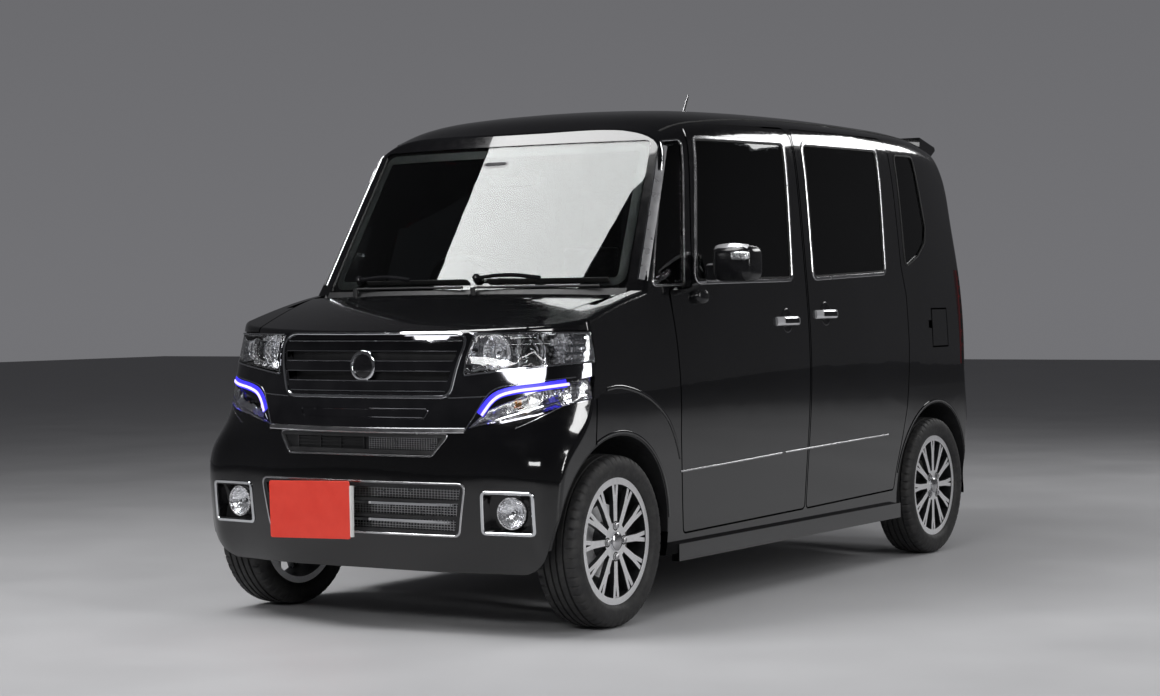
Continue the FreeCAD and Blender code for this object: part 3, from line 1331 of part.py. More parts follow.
bores = along_king(s.king_pin_radius + s.spindle_gap, -s.arm_wide, king_long + s.arm_wide)
radiator_top = s.radiator_base_high + s.radiator_tall + fit
radiator_rear = -s.radiator_reach + s.radiator_thick
post = box(rail_x, rail_far, -s.radiator_reach, rail_front + over, s.rail_high, radiator_top + s.tower_thick)
tie = box(0, rail_far, -s.radiator_reach, radiator_rear, radiator_top, radiator_top + s.tower_thick)
half_frame = post
for member in (tie, rail, column, tower, hanger, shelf, cross, arm):
    half_frame = half_frame.fuse(member)
half_frame = half_frame.cut(bores)
add("front_frame", half_frame.fuse(mirrored(half_frame)))

# Floor, wheel liners and skirts

floor_top, raised = s.floor_high + s.floor_thick, s.raised_floor_high
floor_front, floor_rear = -s.bulkhead_reach + s.pillar_thick + fit, s.floor_rear_reach - s.floor_thick
floor_outline = [
    (floor_front, s.floor_high), (floor_front, floor_top),
    (s.raised_floor_reach, floor_top), (s.raised_floor_reach, raised + s.floor_thick),
    (floor_rear, raised + s.floor_thick), (floor_rear, s.floor_lip_high),
    (s.floor_rear_reach, s.floor_lip_high), (s.floor_rear_reach, raised),
    (s.raised_floor_reach + s.floor_thick, raised), (s.raised_floor_reach + s.floor_thick, s.floor_high),
]
floor = plate_yz(floor_outline, -s.floor_half, s.floor_half)
wheel_room = box(
    s.raised_floor_half, x_far, half_base - s.arch_radius - fit, y_far, s.floor_high - over, s.belt_high,
)
for cutter in (wheel_room, mirrored(wheel_room), arches):
    floor = floor.cut(cutter)
add("floor_pan", floor)


def liner(y, x_low, skin, low):
    """A half tube over a wheel, from the inner side out to the body's skin."""
    outer = arch(y, s.arch_radius - fit, x_low)
    shell = outer.cut(arch(y, s.arch_radius - fit - s.liner_thick, x_low - over))
    return shell.common(box(0, x_far, -y_far, y_far, low, z_far)).common(skin)


strut_hole = along_king(s.spring_radius + s.hinge_room, 0, king_long)
front_liner = liner(-half_base, s.liner_inner_half, nose_left, s.tyre_radius).cut(strut_hole)
add("front_liners", both(front_liner))
rear_wall = arch(half_base, s.arch_radius - fit, s.raised_floor_half + fit).common(
    box(0, s.raised_floor_half + fit + s.liner_thick, -y_far, y_far, s.tyre_radius, z_far)
)
stub_hole = across(s.stub_radius + gap, half_base, s.tyre_radius, 0, x_far)
rear_liner = liner(half_base, s.raised_floor_half + fit, cabin_left, s.tyre_radius)
rear_liner = rear_liner.fuse(rear_wall).cut(stub_hole)
add("rear_liners", both(rear_liner))
skirt = box(
    s.skirt_half - s.skirt_thick, half_wide - s.panel_gap, -s.skirt_front_reach, s.skirt_rear_reach,
    s.skirt_base_high, s.skirt_top_high,
)
add("side_skirts", both(skirt.cut(front_arch).cut(rear_arch).cut(cabin_outer)))

# Cabin inside

DASH_SHARES = [
    (-0.3729, 0.3596), (-0.3729, 0.5843), (-0.3175, 0.5966), (-0.2619, 0.5843), (-0.2540, 0.5281),
    (-0.2778, 0.4494), (-0.2857, 0.3596),
]
SEAT_SHARES = [
    (-0.1548, 0.1462), (-0.1548, 0.2247), (-0.1667, 0.2416), (-0.1667, 0.3146), (-0.1508, 0.3315),
    (0.0159, 0.3146), (0.0437, 0.3933), (0.0754, 0.6067), (0.0833, 0.6236), (0.1151, 0.6236),
    (0.1190, 0.6067), (0.0794, 0.3933), (0.0675, 0.2360), (0.0476, 0.1462),
]
HEAD_SHARES = [
    (0.0900, 0.6200), (0.0853, 0.6404), (0.0813, 0.7247), (0.1131, 0.7303), (0.1190, 0.6433), (0.1080, 0.6200),
]
REAR_SEAT_SHARES = [
    (0.2222, 0.1462), (0.2222, 0.2360), (0.2103, 0.2528), (0.2103, 0.3202), (0.2262, 0.3371),
    (0.3810, 0.3202), (0.4008, 0.3820), (0.4206, 0.5618), (0.4286, 0.5787), (0.4563, 0.5787),
    (0.4603, 0.5618), (0.4405, 0.2614), (0.3371, 0.2614), (0.3371, 0.1462),
]


def profile(shares, x_low, x_top):
    return plate_yz([(y, z) for _, y, z in side_outline(shares)], x_low, x_top)


add("dashboard", profile(DASH_SHARES, -s.dash_half, s.dash_half))
seat_low, seat_top = s.seat_side - s.seat_wide / 2, s.seat_side + s.seat_wide / 2
rest_low, rest_top = s.seat_side - s.head_rest_wide / 2, s.seat_side + s.head_rest_wide / 2
seat = profile(SEAT_SHARES, seat_low, seat_top).fuse(profile(HEAD_SHARES, rest_low, rest_top))
add("front_seats", both(seat))
add("rear_seat", profile(REAR_SEAT_SHARES, -s.rear_seat_half, s.rear_seat_half))

# Steering wheel, leaning back about its column

tilt = radians(s.steering_tilt)
column_axis = Vector(0, cos(tilt), sin(tilt))
wheel_middle = Vector(-s.steering_side, -s.steering_reach, s.steering_high)
hub_low = wheel_middle - column_axis * s.steering_hub_thick
wheel_ring = Part.makeTorus(s.steering_radius, s.steering_rim_radius, wheel_middle, column_axis)
wheel_hub = Part.makeCylinder(s.steering_hub_radius, s.steering_hub_thick, hub_low, column_axis)
steering = wheel_ring.fuse(wheel_hub)
upward = Vector(0, -sin(tilt), cos(tilt))
for angle in (0, 180, 270):
    reach = ALONG_X * cos(radians(angle)) + upward * sin(radians(angle))
    start = wheel_middle + reach * (s.steering_hub_radius / 2) - column_axis * s.steering_rim_radius
    spoke_long = s.steering_radius - s.steering_hub_radius / 2
    steering = steering.fuse(Part.makeCylinder(s.steering_rim_radius * WHEEL_SPOKE_SHARE, spoke_long, start, reach))
steering = steering.cut(
    Part.makeCylinder(s.column_radius + s.spindle_gap, s.steering_hub_thick / 2, hub_low, column_axis)
)
add("steering_wheel", steering)
column_low = hub_low - column_axis * s.column_long
column = Part.makeCylinder(
    s.column_radius, s.column_long + s.steering_hub_thick / 2 - fit, column_low, column_axis
)
add("steering_column", column.cut(profile(DASH_SHARES, -s.dash_half, s.dash_half)))

# Small pieces outside

handle_x = half_wide + s.handle_stand


def handle(y, z):
    """A bar handle on two feet that stand on the left side's skin."""
    bar = box(
        handle_x - s.handle_thick, handle_x, y - s.handle_long / 2, y + s.handle_long / 2,
        z - s.handle_high / 2, z + s.handle_high / 2,
    )
    for end in (-1, 1):
        foot_y = y + end * (s.handle_long / 2 - s.handle_thick)
        bar = bar.fuse(box(
            half_wide - s.handle_stand, handle_x - s.handle_thick / 2, foot_y - s.handle_thick,
            foot_y + s.handle_thick, z - s.handle_high / 2, z + s.handle_high / 2,
        ))
    return bar.cut(cabin_outer)


front_handle = handle(-s.front_handle_reach, s.front_handle_high)
add("front_handle_left", front_handle)
add("front_handle_right", mirrored(front_handle))
add("slide_handles", both(handle(s.slide_handle_reach, s.slide_handle_high)))
mirror_points = [
    (s.mirror_inner_half, -s.mirror_reach - s.mirror_deep / 2, 0),
    (s.mirror_half, -s.mirror_reach - s.mirror_deep / 4, 0),
    (s.mirror_half, -s.mirror_reach + s.mirror_deep / 3, 0),
    (s.mirror_inner_half, -s.mirror_reach + s.mirror_deep / 2, 0),
]
mirror_face = rounded_face(mirror_points, s.mirror_round)
mirror_face.translate(Vector(0, 0, s.mirror_low_high))
mirror = mirror_face.extrude(Vector(0, 0, s.mirror_top_high - s.mirror_low_high))
mirror_foot = box(
    s.roof_half_wide, s.mirror_inner_half + s.mirror_round, -s.mirror_reach - s.mirror_deep / 3,
    -s.mirror_reach + s.mirror_deep / 6, s.mirror_low_high, s.mirror_low_high + s.mirror_round,
)
mirror = mirror.fuse(mirror_foot).cut(cabin_outer)
add("mirror_left", mirror)
add("mirror_right", mirrored(mirror))

SPOILER_SHARES = [(0.5893, 0.9781), (0.6508, 0.9584), (0.6532, 0.9506), (0.6290, 0.9298), (0.5893, 0.9298)]
seat_step = Vector(0, fit, fit)
tail_cutter = cabin_outer.copy()
tail_cutter.translate(seat_step)
spoiler = profile(SPOILER_SHARES, -s.spoiler_wide / 2, s.spoiler_wide / 2).cut(tail_cutter)
add("rear_spoiler", max(spoiler.Solids, key=lambda solid: solid.Volume))
antenna_low = Vector(s.antenna_side, s.antenna_reach, s.body_high - s.roof_thick / 2)
mast = Part.makeCylinder(s.antenna_radius, s.antenna_long, antenna_low, Vector(0, sin(tilt), cos(tilt)))
antenna_foot = Part.makeCylinder(s.antenna_radius * 4, s.roof_thick / 2 + s.antenna_radius, antenna_low)
add("antenna", mast.fuse(antenna_foot).cut(cabin_outer))

plate_middle, plate_front = -s.plate_side_shift, -half_long - s.corner_round
front_plate = box(
    plate_middle - s.plate_wide / 2, plate_middle + s.plate_wide / 2,
    plate_front - s.plate_thick, plate_front,
    s.plate_low_high, s.plate_low_high + s.plate_high,
)
bar_high = (s.intake_base_high + s.intake_top_high) / 2
plate_bracket = box(
    plate_middle - s.plate_wide / 4, plate_middle + s.plate_wide / 4, plate_front,
    -half_long + s.grille_panel_deep - fit, bar_high - intake_third / 4, bar_high + intake_third / 4,
)
add("front_plate", front_plate.fuse(plate_bracket))
rear_plate_low = s.tailgate_base_high + s.plate_high * PLATE_RAISE_SHARE
rear_plate = box(
    -s.plate_wide / 2, s.plate_wide / 2, half_long - s.plate_thick * 4, half_long - s.plate_thick,
    rear_plate_low, rear_plate_low + s.plate_high,
)
add("rear_plate", rear_plate.cut(tail_cutter))
wiper_z = s.screen_base_high + s.wiper_thick
wiper_seat = cabin_outer.fuse(bulkhead)
wiper_seat.translate(Vector(0, -fit, fit))
wipers = []
for start, end in WIPER_SHARES:
    points = []
    for x in (start * s.screen_base_half, end * s.screen_base_half):
        y = -s.screen_base_reach + s.screen_base_bulge * (x / s.screen_base_half)**2 - s.wiper_thick
        points.append(Vector(x, y, wiper_z))
    run = points[1] - points[0]
    blade = Part.makeCylinder(s.wiper_thick / 2, run.Length, points[0], run)
    pivot = points[1] - Vector(0, s.wiper_thick, 0)
    foot_low = Vector(pivot.x, pivot.y, s.cowl_high)
    foot = Part.makeCylinder(s.wiper_thick, wiper_z - s.cowl_high, foot_low)
    wipers.append(largest(blade.fuse(foot).cut(wiper_seat).cut(bulkhead)))
add("wipers", Part.makeCompound(wipers))

doc.recompute()
os.makedirs("parts", exist_ok=True)
for label, piece in pieces.items():
    shape = piece.Shape
    bounds = shape.BoundBox
    print(
        label, len(shape.Solids), shape.isValid(), round(shape.Volume / 1e6, 2),
        [round(v) for v in (bounds.XMin, bounds.XMax, bounds.YMin, bounds.YMax, bounds.ZMin, bounds.ZMax)],
    )
    if piece.State and ("Invalid" in piece.State or "Error" in piece.State):
        raise RuntimeError(f"{label} failed")
    if shape.isNull() or not shape.isValid():
        raise RuntimeError(f"{label} has no valid shape")
for label, piece in pieces.items():
    piece.Shape.exportStep(f"parts/{label}.step")
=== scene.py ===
import json
import math

import bmesh
import bpy
from mathutils import Matrix, Vector
from mathutils.bvhtree import BVHTree


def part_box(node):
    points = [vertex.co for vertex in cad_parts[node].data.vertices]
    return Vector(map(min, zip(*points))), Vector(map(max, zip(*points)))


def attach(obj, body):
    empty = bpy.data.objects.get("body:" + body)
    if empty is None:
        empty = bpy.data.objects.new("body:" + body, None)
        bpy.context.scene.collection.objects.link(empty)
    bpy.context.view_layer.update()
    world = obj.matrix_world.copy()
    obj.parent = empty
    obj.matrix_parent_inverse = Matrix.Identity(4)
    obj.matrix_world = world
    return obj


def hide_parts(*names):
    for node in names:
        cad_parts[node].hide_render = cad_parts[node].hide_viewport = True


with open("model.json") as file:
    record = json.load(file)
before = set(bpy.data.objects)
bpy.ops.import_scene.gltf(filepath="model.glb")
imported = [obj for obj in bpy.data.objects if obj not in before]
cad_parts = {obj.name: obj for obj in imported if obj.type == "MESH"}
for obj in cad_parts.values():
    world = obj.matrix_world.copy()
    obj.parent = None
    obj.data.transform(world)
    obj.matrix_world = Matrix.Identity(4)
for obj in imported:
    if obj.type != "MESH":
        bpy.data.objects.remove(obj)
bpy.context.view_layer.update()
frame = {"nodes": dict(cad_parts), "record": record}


# Materials

class Look:
    """A material being built, with the node tree's parts at hand."""

    def __init__(self, name, **constants):
        self.material = bpy.data.materials.new(name)
        self.material.use_nodes = True
        self.nodes = self.material.node_tree.nodes
        self.links = self.material.node_tree.links
        self.shader = self.nodes["Principled BSDF"]
        self.place = self.nodes.new("ShaderNodeTexCoord").outputs["Object"]
        self.height = None
        for socket, value in constants.items():
            self.shader.inputs[socket.replace("_", " ")].default_value = value

    def feed(self, socket, value):
        """Links another socket to this one, or sets its value."""
        if isinstance(value, bpy.types.NodeSocket):
            self.links.new(value, socket)
        elif socket.type == "RGBA":
            socket.default_value = (*value, 1.0)
        else:
            socket.default_value = value

    def node(self, kind, **inputs):
        made = self.nodes.new("ShaderNode" + kind)
        for key, value in inputs.items():
            self.feed(made.inputs[key.replace("_", " ")], value)
        return made

    def stretched(self, scale):
        return self.node("Mapping", Vector=self.place, Scale=scale).outputs[0]

    def noise(self, scale, detail=3.0, place=None):
        return self.node("TexNoise", Vector=place or self.place, Scale=scale, Detail=detail).outputs[0]

    def cells(self, scale):
        return self.node("TexVoronoi", Vector=self.place, Scale=scale).outputs["Distance"]

    def ramp(self, value, *stops):
        """A colour for each value: stops are (position, colour)."""
        made = self.node("ValToRGB", Fac=value)
        elements = made.color_ramp.elements
        while len(elements) < len(stops):
            elements.new(0.5)
        for element, (position, colour) in zip(elements, stops):
            element.position = position
            element.color = (*colour, 1.0)
        return made.outputs[0]

    def span(self, value, low, high, to_low, to_high):
        """A value mapped from one range to another."""
        made = self.node("MapRange", Value=value, From_Min=low, From_Max=high, To_Min=to_low, To_Max=to_high)
        return made.outputs[0]

    def math(self, operation, first, second=0.0):
        made = self.nodes.new("ShaderNodeMath")
        made.operation = operation
        for socket, value in zip(made.inputs, (first, second)):
            self.feed(socket, value)
        return made.outputs[0]

    def blend(self, share, first, second):
        made = self.nodes.new("ShaderNodeMix")
        made.data_type = "RGBA"
        for index, value in ((0, share), (6, first), (7, second)):
            self.feed(made.inputs[index], value)
        return made.outputs[2]

    def link(self, socket, output):
        self.links.new(output, self.shader.inputs[socket])

    def bump(self, height, depth, strength=1.0):
        """Relief of a depth in metres, on top of any relief before it."""
        made = self.node("Bump", Height=height, Distance=depth, Strength=strength)
        if self.height:
            self.links.new(self.height, made.inputs["Normal"])
        self.height = made.outputs[0]
        self.link("Normal", self.height)


def paint_look(name, dark, light):
    """Glossy car paint: fine flakes under a clear coat with a trace of orange peel."""
    look = Look(name, Metallic=0.0, Coat_Weight=1.0, Coat_Roughness=0.02, IOR=1.5, Specular_IOR_Level=0.25)
    flakes = look.cells(1800.0)
    broad = look.noise(2.2)
    look.link("Base Color", look.ramp(look.math("MULTIPLY", flakes, broad), (0.05, light), (0.32, dark)))
    look.link("Roughness", look.span(look.noise(35.0), 0.3, 0.7, 0.10, 0.16))
    look.bump(look.noise(160.0, 2.0), 0.00002, 0.25)
    return look.material


def plastic_look(name, dark, light, rough=0.5, grain=900.0, depth=0.0002):
    """Moulded plastic with a fine leathery grain."""
    look = Look(name, IOR=1.46)
    look.link("Base Color", look.ramp(look.noise(18.0), (0.3, dark), (0.7, light)))
    look.link("Roughness", look.span(look.noise(60.0), 0.3, 0.7, rough - 0.06, rough + 0.08))
    look.bump(look.cells(grain), depth, 0.5)
    return look.material


def metal_look(
    name, dark, light, rough=0.25, brushed=(1.0, 1.0, 1.0), scale=60.0, depth=0.00003, metallic=1.0,
):
    """Metal with brushed or cast relief."""
    look = Look(name, Metallic=metallic)
    streaks = look.noise(scale, 5.0, look.stretched(brushed))
    look.link("Base Color", look.ramp(streaks, (0.3, dark), (0.7, light)))
    look.link("Roughness", look.span(look.noise(25.0), 0.3, 0.7, rough * 0.8, rough * 1.25))
    look.bump(streaks, depth, 0.6)
    return look.material


def glass_look(name, tint, rough=0.0):
    """Window or lamp glass: clear, tinted, with faint wipe marks."""
    look = Look(name, Transmission_Weight=1.0, IOR=1.45)
    smear = look.noise(9.0, 4.0)
    look.link("Base Color", look.ramp(smear, (0.25, tint), (0.85, tuple(min(1.0, c * 1.06) for c in tint))))
    look.link("Roughness", look.span(smear, 0.3, 0.8, rough, rough + 0.012))
    return look.material


def rubber_look(name):
    """Tyre rubber with a trace of dust and a fine grain."""
    look = Look(name, IOR=1.5)
    dust = look.noise(30.0, 6.0)
    look.link("Base Color", look.ramp(dust, (0.35, (0.012, 0.012, 0.013)), (0.8, (0.030, 0.029, 0.028))))
    look.link("Roughness", look.span(look.noise(80.0), 0.3, 0.7, 0.55, 0.75))
    look.bump(look.noise(700.0, 2.0), 0.0003, 0.5)
    return look.material


def cloth_look(name, dark, light, thread=420.0):
    """Woven seat fabric: two crossing sets of threads."""
    look = Look(name, Sheen_Weight=0.3, Sheen_Roughness=0.4)
    waves = []
    for direction in ("X", "Z"):
        made = look.node("TexWave", Vector=look.place, Scale=thread, Distortion=0.6, Detail=1.0)
        made.bands_direction = direction
        waves.append(made.outputs[0])
    weave = look.math("MULTIPLY", waves[0], waves[1])
    fleck = look.math("ADD", weave, look.span(look.noise(55.0), 0.3, 0.7, -0.3, 0.3))
    look.link("Base Color", look.ramp(fleck, (0.1, dark), (0.8, light)))
    look.link("Roughness", look.span(weave, 0.0, 1.0, 0.85, 0.98))
    look.bump(weave, 0.0006, 0.7)
    return look.material


def wheel_look(name):
    """A cast wheel: its outward faces machined bright, the rest dark."""
    look = Look(name, Metallic=0.65)
    facing = look.node("SeparateXYZ", Vector=look.place.node.outputs["Normal"])
    outward = look.span(look.math("ABSOLUTE", facing.outputs[0]), 0.80, 0.90, 0.0, 1.0)
    lathe = look.noise(90.0, 6.0)
    bright = look.ramp(lathe, (0.3, (0.84, 0.84, 0.85)), (0.7, (0.94, 0.94, 0.95)))
    dark = look.ramp(look.noise(40.0), (0.3, (0.030, 0.031, 0.034)), (0.7, (0.050, 0.051, 0.054)))
    look.link("Base Color", look.blend(outward, dark, bright))
    look.link("Roughness", look.span(lathe, 0.3, 0.7, 0.30, 0.40))
    look.bump(lathe, 0.00003, 0.5)
    return look.material


LOOKS = {
    "paint": paint_look("gloss_black_paint", (0.0012, 0.0012, 0.0014), (0.0045, 0.0045, 0.0055)),
    "dark_glass": glass_look("privacy_glass", (0.045, 0.048, 0.050)),
    "clear_glass": glass_look("window_glass", (0.62, 0.66, 0.65)),
    "lamp_lens": glass_look("lamp_lens", (0.93, 0.94, 0.95)),
    "red_lens": glass_look("red_lens", (0.72, 0.014, 0.016)),
    "dark_chrome": metal_look("dark_chrome", (0.10, 0.10, 0.11), (0.15, 0.15, 0.16), 0.05, scale=12.0),
    "chrome": metal_look("chrome", (0.62, 0.63, 0.65), (0.72, 0.73, 0.75), 0.06, scale=12.0),
    "black_plastic": plastic_look("black_plastic", (0.010, 0.010, 0.011), (0.020, 0.020, 0.021), 0.45),
    "trim_plastic": plastic_look(
        "cabin_plastic", (0.022, 0.022, 0.024), (0.036, 0.036, 0.038), 0.6, 700.0, 0.0003,
    ),
    "alloy": wheel_look("machined_alloy"),
    "tyre_rubber": rubber_look("tyre_rubber"),
    "cast_metal": metal_look(
        "cast_metal", (0.20, 0.19, 0.18), (0.33, 0.32, 0.31), 0.5, scale=160.0, depth=0.0004,
    ),
    "steel": metal_look("steel", (0.42, 0.42, 0.43), (0.56, 0.56, 0.57), 0.32, (1.0, 1.0, 8.0)),
    "body_steel": metal_look(
        "coated_steel", (0.020, 0.021, 0.022), (0.038, 0.038, 0.040), 0.5, scale=45.0, metallic=0.3,
    ),
    "seat_cloth": cloth_look("seat_cloth", (0.012, 0.012, 0.014), (0.048, 0.047, 0.050)),
    "plate_white": plastic_look("plate_white", (0.72, 0.72, 0.71), (0.80, 0.80, 0.79), 0.35, 500.0, 0.00005),
}


def dress(piece, look):
    """Gives the piece one material."""
    piece.data.materials.clear()
    piece.data.materials.append(look)


for part in frame["record"]["subparts"]:
    dress(frame["nodes"][part["node"]], LOOKS[part["material_slot"]])


# Tools for shaping pieces

# Directions of the car, whose nose points along -Y
AHEAD, BEHIND, ABOVE, BELOW, TO_RIGHT = (0, -1, 0), (0, 1, 0), (0, 0, 1), (0, 0, -1), (-1, 0, 0)
# How far out the casts start, and how far to the side
FAR_OUT, FAR_ASIDE = 3.0, 2.0
# The share of an outline's edge that a rounded corner may take, and its steps
CORNER_SHARE, CORNER_STEPS = 0.45, 6
# The deepest dip that a laid line follows, and how often dips are smoothed
DEEPEST_DIP, DIP_PASSES = 0.004, 3
# Steps along smooth lines, straight lines and long thin ones
SMOOTH_STEP, STRAIGHT_STEP, LONG_STEP = 0.012, 0.015, 0.03


def tree_over(*meshes):
    """A tree over the surfaces of meshes, to cast on."""
    made = bmesh.new()
    for mesh in meshes:
        made.from_mesh(mesh)
    tree = BVHTree.FromBMesh(made)
    made.free()
    return tree


def search_tree(*names):
    """A tree over CAD nodes' surfaces, for laying thin pieces on them."""
    return tree_over(*(frame["nodes"][name].data for name in names))


NOSE_TREE = search_tree(
    "front_bumper", "front_garnish", "headlamps", "signal_lamps", "grille", "bumper_grilles", "front_fenders",
    "fog_lamps", "bonnet",
)
SIDE_TREE = search_tree(
    "side_frames", "front_door_left", "front_door_glass_left", "slide_doors", "side_glass", "front_fenders",
    "fuel_lid", "tail_lamps", "rear_bumper",
)
REAR_TREE = search_tree("tailgate", "tailgate_glass", "rear_bumper", "tail_lamps", "side_frames")
TOP_TREE = search_tree("roof_panel", "windscreen", "side_frames", "bonnet", "bulkhead")


def caster(tree, start, direction):
    """A function that lays a pair of coordinates on the tree's surface, seen along the direction."""
    direction = Vector(direction)

    def cast(first, second, out=0.0):
        point, normal, _, _ = tree.ray_cast(Vector(start(first, second)), direction)
        if point is None:
            return None, None
        if normal.dot(direction) > 0:
            normal = -normal
        return point + normal * out, normal
    return cast


on_nose = caster(NOSE_TREE, lambda x, z: (x, -FAR_OUT, z), BEHIND)
on_side = caster(SIDE_TREE, lambda y, z: (FAR_ASIDE, y, z), TO_RIGHT)
on_tail = caster(REAR_TREE, lambda x, z: (x, FAR_OUT, z), AHEAD)
on_top = caster(TOP_TREE, lambda x, y: (x, y, FAR_OUT), BELOW)


def smooth_line(points, step=SMOOTH_STEP):
    """Points at even steps on a smooth curve through the given ones."""
    points = [Vector(p) for p in points]
    made = []
    for i in range(len(points) - 1):
        p1, p2 = points[i], points[i + 1]
        p0 = points[i - 1] if i else p1
        p3 = points[i + 2] if i + 2 < len(points) else p2
        pieces = max(1, round((p2 - p1).length / step))
        for k in range(pieces):
            f = k / pieces
            made.append(0.5 * (
                2 * p1 + (p2 - p0) * f + (2 * p0 - 5 * p1 + 4 * p2 - p3) * f**2
                + (3 * p1 - p0 - 3 * p2 + p3) * f**3
            ))
    made.append(points[-1])
    return made


def straight_line(points, step=STRAIGHT_STEP, closed=False):
    """Points at even steps on straight runs between the given ones."""
    made = []
    for first, last in zip(points, points[1:] + (points[:1] if closed else [])):
        first, last = Vector(first), Vector(last)
        pieces = max(1, round((last - first).length / step))
        made += [first.lerp(last, k / pieces) for k in range(pieces)]
    if not closed:
        made.append(Vector(points[-1]))
    return made


def rounded_outline(corners, radius, grow=0.0):
    """A closed outline in two coordinates, grown outward and with its corners rounded."""
    corners = [Vector(c) for c in corners]
    area = sum(a.x * b.y - b.x * a.y for a, b in zip(corners, corners[1:] + corners[:1]))
    turn = 1 if area > 0 else -1
    moved = []
    for i, corner in enumerate(corners):
        back = (corner - corners[i - 1]).normalized()
        ahead = (corners[(i + 1) % len(corners)] - corner).normalized()
        out_back, out_ahead = Vector((back.y, -back.x)) * turn, Vector((ahead.y, -ahead.x)) * turn
        share = 1 + out_back.dot(out_ahead)
        moved.append(corner + (out_back + out_ahead) * (grow / share))
    points = []
    for i, corner in enumerate(moved):
        back = moved[i - 1] - corner
        ahead = moved[(i + 1) % len(moved)] - corner
        reach = min(radius / math.tan(back.angle(ahead) / 2), CORNER_SHARE * min(back.length, ahead.length))
        start, end = corner + back.normalized() * reach, corner + ahead.normalized() * reach
        for k in range(CORNER_STEPS + 1):
            f = k / CORNER_STEPS
            points.append(start * (1 - f)**2 + corner * (2 * f * (1 - f)) + end * f**2)
    return points


def laid(points, cast, out=0.0):
    """The points laid on a surface: places and outward directions, with gaps and deep dips passed over."""
    places, normals = [], []
    for point in points:
        place, normal = cast(point[0], point[1], out)
        if place is not None:
            places.append(place)
            normals.append(normal)
    for _ in range(DIP_PASSES):
        for i in range(1, len(places) - 1):
            middle = (places[i - 1] + places[i + 1]) / 2
            shift = places[i] - middle
            if abs(shift.dot(normals[i])) > DEEPEST_DIP:
                places[i] = middle
                normals[i] = (normals[i - 1] + normals[i + 1]).normalized()
    return places, normals


